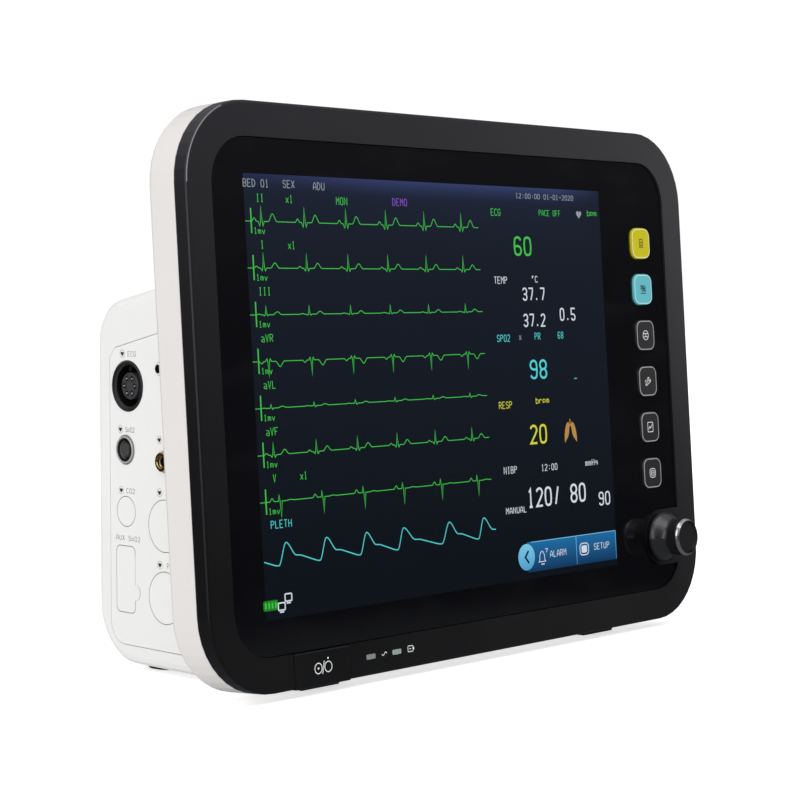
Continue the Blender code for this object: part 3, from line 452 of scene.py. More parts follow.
def lit(name, colour, strength=1.0, roughness=0.12):
    """Light that leaves the screen through the glossy sheet: faint cell noise breaks up the flat colour."""
    material, tree, shader, coords = start_material(name)
    cells = ramp(tree, noise(tree, coords, 1500.0, 1.0), 0.3, 0.7)
    glow = mixed(tree, cells, tuple(part * 0.82 for part in colour), colour)
    tree.links.new(glow, shader.inputs["Emission Color"])
    shader.inputs["Emission Strength"].default_value = strength
    shader.inputs["Base Color"].default_value = (0.004, 0.004, 0.005, 1.0)
    shader.inputs["Roughness"].default_value = roughness
    return material


def product(tree, *factors):
    """Several mask values multiplied together."""
    result = factors[0]
    for factor in factors[1:]:
        result = add_node(tree, "ShaderNodeMath", {0: result, 1: factor}, operation="MULTIPLY").outputs[0]
    return result


HALF_WIDTH, HALF_HEIGHT = 123, 92  # mm from the picture's middle to where its colours end


def picture_background(name, finish):
    """The dark blue picture: slow clouds, lighter upwards, with a thin glow along the middle of its top edge."""
    material, tree, shader, coords = start_material(name)
    (left, _, low), (right, _, top) = FRONT.place([[SCREEN_U - HALF_WIDTH, -HALF_HEIGHT, 0],
                                                   [SCREEN_U + HALF_WIDTH, HALF_HEIGHT, 0]])
    axes = add_node(tree, "ShaderNodeSeparateXYZ", {0: coords}).outputs
    lift = add_node(tree, "ShaderNodeMath", {0: noise(tree, coords, 16.0)}, {1: 0.12}, operation="MULTIPLY").outputs[0]
    level = add_node(tree, "ShaderNodeMath", {0: ramp(tree, axes["Z"], low, top), 1: lift}, operation="ADD").outputs[0]
    base = mixed(tree, ramp(tree, level, 0.1, 1.0), tuple(finish.picture_low), tuple(finish.picture_high))
    sides = product(tree, ramp(tree, axes["X"], left, left + 0.09, 0.3, 1.0),
                    ramp(tree, axes["X"], right - 0.035, right, 1.0, 0.15))
    for reach, power, share in ((0.035, 2.0, 0.3), (0.009, 2.0, 0.75)):
        band = add_node(tree, "ShaderNodeMath", {0: ramp(tree, axes["Z"], top - reach, top, 0.0, share)}, {1: power},
                        operation="POWER").outputs[0]
        base = mixed(tree, product(tree, band, sides), base, tuple(finish.picture_top))
    tree.links.new(base, shader.inputs["Emission Color"])
    shader.inputs["Emission Strength"].default_value = 1.0
    shader.inputs["Base Color"].default_value = (0.003, 0.003, 0.004, 1.0)
    shader.inputs["Roughness"].default_value = 0.1
    return material


def faded(name, low_colour, high_colour, low, high):
    """A lit area of the menu that turns from one colour to another with its height."""
    material = lit(name, high_colour)
    tree = material.node_tree
    coords = next(node for node in tree.nodes if node.type == "TEX_COORD").outputs["Object"]
    height = add_node(tree, "ShaderNodeSeparateXYZ", {0: coords}).outputs["Z"]
    colour = mixed(tree, ramp(tree, height, low, high), low_colour, high_colour)
    tree.links.new(colour, tree.nodes["Principled BSDF"].inputs["Emission Color"])
    return material


MATERIALS = {}


def material(name):
    """A finish made by the finishes operator, by name."""
    if name not in MATERIALS:
        raise RuntimeError(f"run the finishes operator first: there is no finish named {name}")
    return MATERIALS[name]


CLEAN = {"dust": 0.0, "scuffs": 0.0}
PRINT = {"depth": 0.000005, "dust": 0.0, "scuffs": 0.02}
WINDOW = {"dust": 0.02, "scuffs": 0.02, "Transmission_Weight": 0.25}
MOULDED = {
    # name: colour or the name of the user's colour, roughness, and what differs from the usual grain and dirt
    "white_case": ("white_case", 0.42, {"grain": 1500.0, "depth": 0.00003, "tone": 0.02, "scuffs": 0.04}),
    "white_side": ("white_case", 0.38, {"grain": 1700.0, "depth": 0.00002, "tone": 0.015, "scuffs": 0.03}),
    "white_ring": ("white_ring", 0.36, {"grain": 1800.0, "depth": 0.00001, "tone": 0.015, "scuffs": 0.03}),
    # the bezel's last colour is the paler black of its painted sheen towards the top and right
    "black_case": ("black_case", 0.36, {"grain": 2200.0, "depth": 0.00002, "tone": 0.12, "dust": 0.02,
                                        "scuffs": 0.015, "worn_edge": (0.0185, 0.0175, 0.0225)}),
    # grey of the painted highlight along the bezel's top left edge
    "painted_edge_highlight": ((0.26, 0.26, 0.27), 0.25, {"grain": 2200.0, "depth": 0.00001, "dust": 0.0, "scuffs": 0.02}),
    "key_yellow": ("key_yellow", 0.35, {"dust": 0.0, "scuffs": 0.02, "Specular_IOR_Level": 0.12}),
    "key_cyan": ("key_cyan", 0.35, {"dust": 0.0, "scuffs": 0.02, "Specular_IOR_Level": 0.3}),
    # pale yellow and pale cyan of the painted highlight round the bevels of the two bright keys
    "rim_yellow": ((0.86, 0.82, 0.42), 0.3, {"dust": 0.0, "scuffs": 0.02}),
    "rim_cyan": ((0.50, 0.84, 0.86), 0.3, {"dust": 0.0, "scuffs": 0.02}),
    "key_black": ("key_black", 0.33, {"dust": 0.02, "scuffs": 0.03}),
    "knob_black": ((0.012, 0.012, 0.013), 0.22, {"grain": 1400.0, "depth": 0.000008, "dust": 0.02, "scuffs": 0.04,
                                                 "Specular_IOR_Level": 0.9}),
    "polished_ring": ((0.62, 0.62, 0.63), 0.16, {"grain": 400.0, "depth": 0.000004, "metallic": 1.0, "dust": 0.02,
                                                 "scuffs": 0.08}),
    "socket_black": ((0.018, 0.018, 0.019), 0.42, {"dust": 0.04, "scuffs": 0.05}),
    "socket_grey": ((0.22, 0.225, 0.23), 0.35, {"dust": 0.04, "scuffs": 0.05}),
    "insert_grey": ((0.052, 0.053, 0.057), 0.4, {"dust": 0.04, "scuffs": 0.05}),
    "handle_grey": ((0.50, 0.50, 0.49), 0.45, {"grain": 1200.0, "depth": 0.00004}),
    # near-black rubber of the feet and grip, also used as painted shade down inside the gaps round the blanks
    "rubber": ((0.014, 0.014, 0.014), 0.8, {"grain": 700.0, "depth": 0.00006, "dust": 0.1}),
    "plain_steel": ((0.52, 0.52, 0.53), 0.3, {"grain": 500.0, "depth": 0.00001, "metallic": 1.0}),
    "plated_brass": ((0.78, 0.56, 0.24), 0.24, {"grain": 500.0, "depth": 0.00001, "metallic": 1.0}),
    "solder_mask": ((0.012, 0.12, 0.045), 0.4, {}),
    "shrink_film": ((0.03, 0.06, 0.2), 0.3, {}),
    "window_grey": ((0.35, 0.37, 0.36), 0.25, WINDOW),
    "window_green": ((0.42, 0.56, 0.50), 0.25, WINDOW),
    # near-black painted shade inside the socket recesses and holes
    "painted_recess_shade": ((0.003, 0.003, 0.0035), 0.5, CLEAN),
    "pin_silver": ((0.5, 0.51, 0.53), 0.3, {"depth": 0.000005, "metallic": 0.2, **CLEAN}),
    "print_white": ((0.92, 0.93, 0.94), 0.5, PRINT),
    "print_grey": ((0.20, 0.20, 0.205), 0.5, PRINT),
    "print_dark": ((0.02, 0.02, 0.022), 0.5, PRINT),
    # silver of the SpO2 collar and the blank plate, also used for the painted highlight round the four dark keys
    "rim_silver": ((0.50, 0.51, 0.52), 0.3, {"depth": 0.000005, "dust": 0.0, "scuffs": 0.03, "metallic": 0.35}),
}
LIT = {"lit_green": (66, 196, 74), "lit_cyan": (84, 212, 214), "lit_white": (214, 224, 232),
       "lit_yellow": (214, 214, 60), "lit_grey": (150, 158, 164), "lit_purple": (140, 80, 205),
       "lit_brown": (186, 140, 72), "lit_arrow": (8, 30, 52), "lit_battery": (30, 130, 30)}
FINISH_OF = {
    "white_case": ("rear_cover", "battery_door"),
    "white_side": ("side_panel", "temp_jack_1", "temp_jack_2", "co2_blank", "aux_blank", "pressure_blank_1",
                   "pressure_blank_2"),
    "white_ring": ("mid_housing",),
    "black_case": ("front_bezel", "power_button"),
    "front_sheet": ("front_panel",),
    "key_yellow": ("key_alarm_silence",),
    "key_cyan": ("key_freeze",),
    "key_black": ("key_record", "key_pressure_start", "key_review", "key_main_screen"),
    "knob_black": ("selector_knob",),
    "polished_ring": ("knob_trim_ring",),
    "socket_black": ("ecg_socket", "ac_inlet", "fuse_holder", "network_port",
                     "service_port", "rotary_encoder", "speaker", "nibp_valve", "battery_tray"),
    "socket_grey": ("spo2_socket",),
    "handle_grey": ("carrying_handle",),
    "rubber": ("front_foot_left", "front_foot_right", "rear_foot_left", "rear_foot_right"),
    "plain_steel": ("lcd_module", "chassis_plate", "encoder_shaft", "nibp_pump", "rear_screw_1", "rear_screw_2",
                    "rear_screw_3", "rear_screw_4", "mount_plate", "handle_pin_left", "handle_pin_right"),
    "plated_brass": ("nibp_connector", "earth_terminal", "encoder_plunger"),
    "solder_mask": ("key_board", "power_board", "main_board", "parameter_board", "power_supply"),
    "shrink_film": ("battery_pack",),
    "window_grey": ("mains_light_pipe",),
    "window_green": ("battery_light_pipe",),
}


# ---------------------------------------------------------------- what a user may change
def colour_property(name, description, default):
    return bpy.props.FloatVectorProperty(name=name, description=description, subtype="COLOR", size=3, min=0.0, max=1.0,
                                         default=default)


def length_property(name, description, default):
    return bpy.props.FloatProperty(name=name, description=description, default=default, min=0.0, subtype="DISTANCE",
                                   unit="LENGTH")


class MonitorFinish(bpy.types.PropertyGroup):
    """Colours of the case, keys and picture."""

    white_case: colour_property("Rear case", "Colour of the rear cover and connector wall", (0.85, 0.848, 0.84))
    white_ring: colour_property("Ring", "Colour of the housing ring behind the bezel", (0.745, 0.722, 0.70))
    black_case: colour_property("Bezel", "Colour of the black bezel", (0.0022, 0.0022, 0.0028))
    front_sheet: colour_property("Front sheet", "Colour of the glossy sheet over the screen", (0.0032, 0.0033, 0.0046))
    key_yellow: colour_property("Alarm key", "Colour of the alarm key", srgb(204, 192, 0))
    key_cyan: colour_property("Freeze key", "Colour of the freeze key", srgb(96, 190, 202))
    key_black: colour_property("Dark keys", "Colour of the four dark keys", (0.014, 0.014, 0.016))
    picture_low: colour_property("Picture, low", "Picture colour at its lower edge", srgb(6, 13, 19))
    picture_high: colour_property("Picture, high", "Picture colour below the top band", srgb(17, 24, 37))
    picture_top: colour_property("Picture, top", "Picture colour at its top edge", srgb(58, 72, 124))


class MonitorPicture(bpy.types.PropertyGroup):
    """Sizes of what the screen shows."""

    width: length_property("Width", "Width of the lit picture", 0.246)
    height: length_property("Height", "Height of the lit picture", 0.1845)
    beat: length_property("Beat", "Distance from one heartbeat to the next", 0.02588)
    trace_width: length_property("Trace width", "Width of a trace", 0.00034)
    row_step: length_property("Row step", "Distance from one lead's trace to the next", 0.01936)


class MonitorMarks(bpy.types.PropertyGroup):
    """Sizes of printed marks, of the painted highlight round each key, and of small metal parts."""

    # the pale line round a key is a painted highlight of its bevel
    key_rim: length_property("Key rim", "Width of the pale line round a key", 0.0005)
    mark_line: length_property("Mark line", "Width of the lines in key marks", 0.0003)
    pin_radius: length_property("Pin radius", "Radius of the ECG socket's pins", 0.00036)
    label_height: length_property("Label height", "Height of the letters beside a socket", 0.0024)


class MonitorStage(bpy.types.PropertyGroup):
    """The camera and the lights."""

    azimuth: bpy.props.FloatProperty(name="Azimuth", description="Camera's angle round the monitor, from its front",
                                     default=math.radians(-48.7234), subtype="ANGLE", unit="ROTATION")
    elevation: bpy.props.FloatProperty(name="Elevation", description="Camera's angle above level",
                                       default=math.radians(2.9693), subtype="ANGLE", unit="ROTATION")
    distance: length_property("Distance", "From the camera to the point that it looks at", 0.98727)
    lens: bpy.props.FloatProperty(name="Lens", description="Focal length of the camera", default=100.858,
                                  unit="CAMERA")
    soft_light: bpy.props.FloatProperty(name="Soft light", description="Strength of the light from all round",
                                        default=0.78)


# ---------------------------------------------------------------- operators
def add_lit(name, shapes, finish):
    """A lit piece of the picture, on the front sheet."""
    make_piece(name, FRONT, shapes, material(finish), "monitor")


def add_fixed(name, wall, shapes, finish):
    """A piece that is fixed to the monitor itself."""
    make_piece(name, wall, shapes, material(finish), "monitor")


MENU_LOW, MENU_HIGH = -89, -76  # v in mm between which the menu bar's colour changes


class MONITOR_OT_finishes(bpy.types.Operator):
    """Make the node groups and finishes, and give every CAD part its finish"""

    bl_idname = "monitor.finishes"
    bl_label = "Finishes"

    def execute(self, context):
        finish = context.scene.monitor_finish
        GROUPS.update(moulded_grain=grain_group(), dust=dust_group(), scuffs=scuff_group())
        for name, (colour, roughness, extra) in MOULDED.items():
            if isinstance(colour, str):
                colour = tuple(getattr(finish, colour))
            MATERIALS[name] = moulded(name, colour, roughness, **extra)
        for name, colour in LIT.items():
            MATERIALS[name] = lit(name, srgb(*colour))
        bar = FRONT.place([[0, MENU_LOW, 0], [0, MENU_HIGH, 0]])[:, 2]
        MATERIALS.update(
            front_sheet=sheet_gloss("front_sheet", tuple(finish.front_sheet)),
            picture=picture_background("picture", finish),
            lit_bar=faded("lit_bar", srgb(10, 52, 92), srgb(26, 102, 156), *bar),
            lit_button=faded("lit_button", srgb(70, 150, 196), srgb(120, 196, 228), *bar))
        for name, nodes in FINISH_OF.items():
            for node in nodes:
                slots = NODES[node].material_slots
                if not len(slots):
                    raise RuntimeError(f"CAD part {node} has no material slot")
                for slot in slots:
                    slot.material = MATERIALS[name]
        return {"FINISHED"}


# from and to what height in mm above the front sheet each layer of the picture stands
PICTURE_LAYER, BAR_LAYER, EDGE_LAYER, SIGN_LAYER = (0.01, 0.05), (0.03, 0.08), (0.06, 0.1), (0.07, 0.13)
LUNG_LAYER, SMALL_SIGN_LAYER = (0.03, 0.09), (0.06, 0.12)


def on_screen(points):
    """Screen places (from the picture's middle) as places on the front wall."""
    return np.asarray(points, float) + (SCREEN_U, 0.0)


class MONITOR_OT_picture(bpy.types.Operator):
    """Make the lit picture's sheet, its menu bar and its small status signs"""

    bl_idname = "monitor.picture"
    bl_label = "Picture"

    def execute(self, context):
        size = context.scene.monitor_picture
        sheet = rounded(size.width / MM, size.height / MM, 0.3, (SCREEN_U, 0.0), 2)
        add_lit("lit_picture", [plate(sheet, *PICTURE_LAYER)], "picture")
        bar = rounded(71.0, 14.2, 0.8, on_screen((87.2, -82.1)), 3)
        add_lit("menu_bar", [plate(bar, *BAR_LAYER)], "lit_bar")
        disc = plate(circle(6.2, on_screen((51.2, -81.9)), 40), 0.05, 0.11)
        divider = stroke(on_screen([(90.2, -88.8), (90.2, -75.4)]), 0.35, *EDGE_LAYER)
        edge = stroke(on_screen([(55, -75.2), (122.4, -75.2), (122.4, -89.0)]), 0.3, *EDGE_LAYER)
        add_lit("menu_button", [disc, divider, edge], "lit_button")
        arrow = stroke(on_screen([(52.8, -79.0), (50.2, -81.9), (52.8, -84.8)]), 1.1, 0.09, 0.14)
        add_lit("menu_arrow", [arrow], "lit_arrow")
        add_lit("menu_signs", self.signs(), "lit_white")
        cell = [plate(rounded(8.6, 4.2, 0.9, on_screen((-120.0, -86.2)), 3), *BAR_LAYER)]
        add_lit("battery_sign", cell, "lit_battery")
        bars = [plate(rounded(0.9, 2.6, 0.3, on_screen((-122.9 + 1.95 * i, -86.2)), 2), *SMALL_SIGN_LAYER)
                for i in range(4)]
        add_lit("battery_bars", bars, "lit_green")
        add_lit("lung_sign", self.lungs(), "lit_brown")
        return {"FINISHED"}

    def signs(self):
        """The bell, the settings sign and the two linked screens."""
        bell = np.array([(-2.6, -2.4), (-1.9, -1.6), (-1.8, 0.6), (-1.0, 2.0), (0, 2.5), (1.0, 2.0), (1.8, 0.6),
                         (1.9, -1.6), (2.6, -2.4)]) + (63.0, -82.6)
        shapes = [stroke(on_screen(bell), 0.4, *SIGN_LAYER, closed=True)]
        shapes.append(stroke(on_screen([(62.2, -86.2), (64.6, -86.2)]), 0.5, *SIGN_LAYER))
        shapes.append(stroke(on_screen([(65.6, -79.2), (67.4, -79.2), (66.4, -80.9)]), 0.35, *SIGN_LAYER))
        shapes.append(stroke(rounded(6.9, 5.6, 1.9, on_screen((96.4, -82.0))), 0.5, *SIGN_LAYER, closed=True))
        shapes.append(plate(rounded(4.3, 3.5, 0.8, on_screen((96.4, -82.0)), 3), *SIGN_LAYER))
        for u, v in ((-113.6, -87.2), (-109.4, -83.8)):
            shapes.append(stroke(rounded(4.0, 3.0, 0.4, on_screen((u, v)), 2), 0.6, *SMALL_SIGN_LAYER, closed=True))
            shapes.append(stroke(on_screen([(u - 1.2, v - 2.3), (u + 1.2, v - 2.3)]), 0.6, *SMALL_SIGN_LAYER))
        return shapes

    def lungs(self):
        """A windpipe and two lobes, each an eased outline on its own side of the middle."""
        lobe = np.array([(0.6, 3.2), (1.3, 4.4), (2.6, 4.0), (3.8, 2.0), (4.5, -0.6), (4.9, -3.2), (4.7, -5.5),
                         (3.7, -4.3), (2.3, -3.0), (1.5, -1.6), (1.0, 0.4)])
        lobe = eased(np.vstack([lobe, lobe[:2]]))[1:-1]
        shapes = [plate(on_screen(lobe * (side, 1) + (90.3, -24.4))[::side], *LUNG_LAYER) for side in (-1, 1)]
        shapes.append(stroke(on_screen([(90.3, -18.6), (90.3, -21.0), (89.5, -22.2)]), 0.6, *LUNG_LAYER))
        shapes.append(stroke(on_screen([(90.3, -21.0), (91.1, -22.2)]), 0.6, *LUNG_LAYER))
        return shapes


LEADS = (
    # name, mark beside it, lag of its beats in mm, then heights in mm: P wave, small dip, R peak, S dip, T wave
    ("II", True, 0.0, 1.4, -1.9, 6.6, -1.9, 3.3),
    ("I", True, 0.0, 0.8, -1.1, 6.4, -1.1, 2.2),
    ("III", False, 0.0, 0.3, -0.4, 3.7, -0.4, 1.2),
    ("aVR", False, 0.0, -0.9, 1.1, -6.8, 1.1, -2.3),
    ("aVL", False, 0.0, 0.2, 0.0, 1.5, -0.5, 0.6),
    ("aVF", False, 0.0, 0.8, -0.9, 5.2, -1.0, 2.0),
    ("V", True, 1.9, 1.4, 0.0, 2.6, -7.0, 0.3),
)
TRACE_LAYER = (0.04, 0.1)  # from and to what height above the sheet the traces stand
FIRST_BEAT = -113.7
FIRST_BASE_V = 72.5
TRACE_START, TRACE_END = -123.0, 28.0
PULSE_FIRST = -109.1
PULSE_STEPS = (0.95, 0.98, 0.94, 1.21, 0.95)


class MONITOR_OT_traces(bpy.types.Operator):
    """Make the seven heart traces with their calibration bars, and the pulse wave"""

    bl_idname = "monitor.traces"
    bl_label = "Traces"

    def execute(self, context):
        size = context.scene.monitor_picture
        beat, width, step = size.beat / MM, size.trace_width / MM, size.row_step / MM
        shapes = []
        for row, (_, _, lag, *heights) in enumerate(LEADS):
            base = FIRST_BASE_V - row * step
            path = self.heart_path(beat, FIRST_BEAT + lag, heights) + (0.0, base)
            shapes.append(stroke(on_screen(path), width, *TRACE_LAYER))
            bar = [(-119.6, base + 5.4), (-119.6, base - 5.0)]
            shapes.append(stroke(on_screen(bar), width * 2, 0.045, 0.105))
        add_lit("heart_traces", shapes, "lit_green")
        pulse = [stroke(on_screen(self.pulse_path(beat)), width * 1.35, *TRACE_LAYER)]
        add_lit("pulse_trace", pulse, "lit_cyan")
        return {"FINISHED"}

    def heart_path(self, beat, first, heights):
        """Straight lines between the marks of each beat, with P and T as half cosine humps."""
        p_wave, dip, peak, fall, t_wave = heights
        share = np.linspace(-1, 1, 9)
        hump = (1 + np.cos(share * math.pi)) / 2
        p_part = np.column_stack([-4.2 + 1.5 * share, p_wave * hump])
        t_part = np.column_stack([6.7 + 2.6 * share, t_wave * hump])
        spike = np.array([(-1.9, 0.0), (-0.95, dip), (-0.5, 0.0), (0.0, peak), (0.5, 0.0), (0.95, fall), (1.7, 0.0)])
        one = np.vstack([p_part, spike, t_part])
        starts = first + beat * np.arange(6)
        path = (one[None] + np.stack([starts, np.zeros(6)], 1)[:, None]).reshape(-1, 2)
        path = path[path[:, 0] > TRACE_START + 0.4]
        return np.vstack([[(TRACE_START, 0.0)], path, [(TRACE_END, 0.0)]])

    def pulse_path(self, beat):
        """Each pulse goes through a low point, peak, notch and second hump; all but the long fall are smooth steps."""
        knots = np.array([(-0.19, 0.0), (0.0, 1.0), (0.24, 0.38), (0.34, 0.36), (0.74, 0.02), (0.81, 0.0)])
        u = np.linspace(-122.4, 29.4, 360)
        peaks = PULSE_FIRST + beat * np.cumsum([0, *PULSE_STEPS])
        peaks = np.concatenate([[peaks[0] - beat], peaks, [peaks[-1] + beat]])
        count = np.interp(u, peaks, np.arange(len(peaks)))
        phase = np.mod(count + 0.19, 1.0) - 0.19
        index = np.clip(np.searchsorted(knots[:, 0], phase, side="right") - 1, 0, 4)
        start, end = knots[index], knots[index + 1]
        share = (phase - start[:, 0]) / (end[:, 0] - start[:, 0])
        share = np.where(index == 3, share, share * share * (3 - 2 * share))
        return np.column_stack([u, -70.3 + 9.3 * (start[:, 1] + (end[:, 1] - start[:, 1]) * share)])


TINY, UNIT, SMALL, MIDDLE, LARGE = 2.7, 3.2, 3.4, 6.3, 9.3
READINGS = {
    # text, capital height, (u, v) of its middle from the picture's middle, width (None is the usual spacing)
    "grey": (("BED 01", SMALL, (-115.8, 88.3), None), ("SEX", SMALL, (-96.3, 88.5), None),
             ("ADU", SMALL, (-77.9, 88.2), None), ("12:00:00 01-01-2020", 2.5, (79.5, 88.2), 45.0),
             ("x", SMALL, (55.0, 21.8), None)),
    "white": (("TEMP", SMALL, (42.5, 48.3), None), ("°C", UNIT, (68.3, 48.8), 4.8),
              ("37.7", MIDDLE, (66.9, 41.7), 17.0), ("37.2", MIDDLE, (66.6, 29.3), 17.0),
              ("0.5", MIDDLE, (92.8, 31.9), 12.4), ("NIBP", SMALL, (42.4, -40.4), None),
              ("12:00", UNIT, (72.2, -40.8), 12.4), ("mmHg", UNIT, (105.9, -40.5), 10.0),
              ("120/ 80", LARGE, (76.9, -54.5), 46.0), ("90", 6.8, (115.0, -58.7), 9.4),
              ("MANUAL", 3.1, (45.3, -59.3), 15.4), ("ALARM", UNIT, (75.6, -82.0), 12.6),
              ("SETUP", UNIT, (110.6, -81.6), 12.6)),
    "green": (("MON", SMALL, (-64.0, 82.2), None), ("ECG", SMALL, (41.4, 80.0), None),
              ("PACE OFF", 2.9, (82.7, 80.5), 17.0), ("bpm", 3.0, (116.6, 81.3), 7.6),
              ("60", LARGE, (60.4, 64.4), 13.4)),
    "cyan": (("PLETH", SMALL, (-111.3, -53.1), None), ("SPO2", SMALL, (42.4, 21.2), None),
             ("PR", SMALL, (68.3, 21.7), None), ("68", SMALL, (86.3, 21.9), None),
             ("98", LARGE, (67.7, 6.0), 13.2), ("-", SMALL, (96.5, 0.8), 2.6)),
    "yellow": (("RESP", SMALL, (41.3, -10.0), None), ("brpm", 3.0, (69.5, -8.8), 10.2),
               ("20", LARGE, (65.1, -24.7), 13.0)),
    "purple": (("DEMO", SMALL, (-26.1, 82.8), None),),
}


class MONITOR_OT_readings(bpy.types.Operator):
    """Make the numbers, units and row names on the screen"""

    bl_idname = "monitor.readings"
    bl_label = "Readings"

    def execute(self, context):
        step = context.scene.monitor_picture.row_step / MM
        for colour, rows in READINGS.items():
            shapes = [letters(text, height, on_screen(place), width) for text, height, place, width in rows]
            if colour == "green":
                for row, (name, mark, *_) in enumerate(LEADS):
                    v = FIRST_BASE_V + 9.7 - row * step
                    shapes.append(letters(name, SMALL, on_screen((-113.9, v))))
                    shapes.append(letters("1mv", TINY, on_screen((-115.0, v - 13.6)), 6.6))
                    if mark:
                        shapes.append(letters("x1", SMALL, on_screen((-96.5, v)), 4.2))
            if colour == "grey":
                shapes.append(self.heart((105.9, 80.5), 2.2))
            add_lit(f"readings_{colour}", shapes, f"lit_{colour}")
        return {"FINISHED"}

    def heart(self, middle, size):
        """A heart curve: u = 16 sin cubed, v = 13 cos t - 5 cos 2t - 2 cos 3t - cos 4t, scaled to the size."""
        t = np.linspace(0, 2 * math.pi, 25)[:-1]
        curve = np.column_stack([16 * np.sin(t) ** 3,
                                 13 * np.cos(t) - 5 * np.cos(2 * t) - 2 * np.cos(3 * t) - np.cos(4 * t)])
        return plate(on_screen(curve / 17 * size + middle), 0.04, 0.12)


KEY_FLANGE = 1.5  # mm of hidden rim that keeps a key behind the sheet
DARK_INK_SPREAD = 1.5  # the dark lines on the two bright keys are this much wider


def key_marks():
    """Each key's own sign in mm from the key's middle, as lists of open or closed lines: (points, closed)."""
    wave = np.column_stack([np.linspace(-2.2, 2.2, 25), 0.8 * np.sin(np.linspace(0, 4 * math.pi, 25))])
    return {
        "key_alarm_silence": [(rounded(2.8, 3.2, 0.7, (0, 0.5), 3), True), ([(-2.0, -1.9), (2.0, -1.9)], False),
                              ([(-0.7, 0.9), (0, 0.2), (0.7, 0.9)], False), ([(0, 0.2), (0, -0.6)], False)],
        "key_freeze": [(wave + (0, 1.2), False), (wave + (0, -0.2), False), ([(-2.2, -2.0), (2.2, -2.0)], False),
                       ([(-1.4, 2.2), (1.4, -1.2)], False)],
        "key_record": [(circle(2.3, steps=28), True), ([(-2.1, 0.8), (2.1, 0.8)], False),
                       ([(-2.1, -0.8), (2.1, -0.8)], False), ([(0, 0.8), (0, -0.8)], False)],
        "key_pressure_start": [([(-2.2, -1.6), (-0.6, -0.3), (0.2, 1.9), (1.0, 1.6), (0.6, 0.2), (2.3, 0.6),
                                 (2.0, -0.3), (0.2, -1.2), (-1.2, -2.2)], True),
                               ([(-2.6, -0.4), (-1.4, 0.8)], False)],
        "key_review": [(rounded(4.4, 4.8, 0.4, (0, 0), 3), True),
                       ([(-1.5, -1.2), (-0.6, 0.3), (0.2, -0.5), (1.5, 1.4)], False)],
        "key_main_screen": [(rounded(4.8, 4.4, 1.5, (0, 0), 4), True), (rounded(2.6, 2.2, 0.4, (0, 0), 2), True),
                            ([(-0.9, 0.0), (0.9, 0.0)], False)],
    }


class MONITOR_OT_key_marks(bpy.types.Operator):
    """Make the sign of each key, and the pale rim round it that is a painted highlight of the key's bevel"""

    bl_idname = "monitor.key_marks"
    bl_label = "Key marks"

    def execute(self, context):
        marks = context.scene.monitor_marks
        thin, highlight_rim = marks.mark_line / MM, marks.key_rim / MM
        signs = key_marks()
        for index, key in enumerate(KEYS):
            low, high = FRONT.measure(key)
            (u, v, _), top, side = (low + high) / 2, high[2], (high - low)[0] - 2 * KEY_FLANGE
            tint = ("yellow", "cyan")[index] if index < 2 else None
            ink, line = ("print_dark", thin * DARK_INK_SPREAD) if tint else ("print_white", thin)
            shapes = [stroke(np.asarray(path, float) + (u, v), line, top - 0.05, top + 0.03, closed)
                      for path, closed in signs[key]]
            make_piece(f"{key}_sign", FRONT, shapes, material(ink), key)
            # a pale line just inside the key's edge: painted highlight standing in for light on its bevel
            edge = rounded(side - highlight_rim - 0.9, side - highlight_rim - 0.9, 3.6, (u, v), 6)
            make_piece(f"{key}_rim", FRONT, [stroke(edge, highlight_rim, top - 0.25, top + 0.02, closed=True)],
                       material(f"rim_{tint or 'silver'}"), key)
        return {"FINISHED"}


CORNER_RADIUS, CORNER_STEPS = 35.0, 24  # of the bezel's outline


class MONITOR_OT_power_marks(bpy.types.Operator):
    """Make the on-off sign, the signs beside the two windows, and a painted highlight along the bezel's top left edge
    """

    bl_idname = "monitor.power_marks"
    bl_label = "Power marks"

    def execute(self, context):
        low, high = FRONT.measure("power_button")
        u, v, top = (low + high)[0] / 2, (low + high)[1] / 2, high[2]
        layer = (top - 0.06, top + 0.03)
        shapes = [stroke(circle(2.2, (u - 2.9, v), 36), 0.4, *layer, closed=True),
                  stroke(circle(2.2, (u + 3.2, v + 0.1), 36), 0.4, *layer, closed=True),
                  plate(circle(0.5, (u - 2.9, v), 14), *layer), plate(circle(0.45, (u + 3.2, v + 3.7), 14), *layer),
                  stroke([(u - 0.5, v - 2.6), (u + 0.8, v + 2.8)], 0.4, *layer)]
        make_piece("power_sign", FRONT, shapes, material("print_white"), "power_button")
        mains, battery = FRONT.centre("mains_light_pipe"), FRONT.centre("battery_light_pipe")
        low, high = FRONT.measure("front_bezel")
        surface = high[2]
        layer = (surface - 0.06, surface + 0.03)
        t = np.linspace(-1, 1, 17)
        wave = np.column_stack([mains[0] + 8.6 + 1.7 * t, mains[1] + 0.2 + 0.65 * np.sin(t * math.pi)])
        u, v = battery[0] + 9.0, battery[1] + 0.3
        shapes = [stroke(wave, 0.32, *layer), stroke(rounded(3.3, 2.5, 0.25, (u, v), 2), 0.3, *layer, closed=True),
                  plate(rounded(0.6, 1.2, 0.15, (u + 2.1, v), 2), *layer),
                  stroke([(u - 0.9, v), (u + 0.4, v)], 0.3, *layer)]
        add_fixed("light_signs", FRONT, shapes, "print_white")
        (width, height, _), middle = high - low, (low + high)[:2] / 2
        outline = rounded(width - 1.0, height - 1.0, CORNER_RADIUS - 0.5, middle, CORNER_STEPS)
        part = CORNER_STEPS + 1
        # a grey stroke along the top left of the bezel's outline: a painted highlight of its edge
        top_left = outline[part + part // 4:2 * part]
        edge = stroke(top_left, 0.4, surface - 0.3, surface - 0.1)
        add_fixed("bezel_edge_highlight", FRONT, [edge], "painted_edge_highlight")
        return {"FINISHED"}


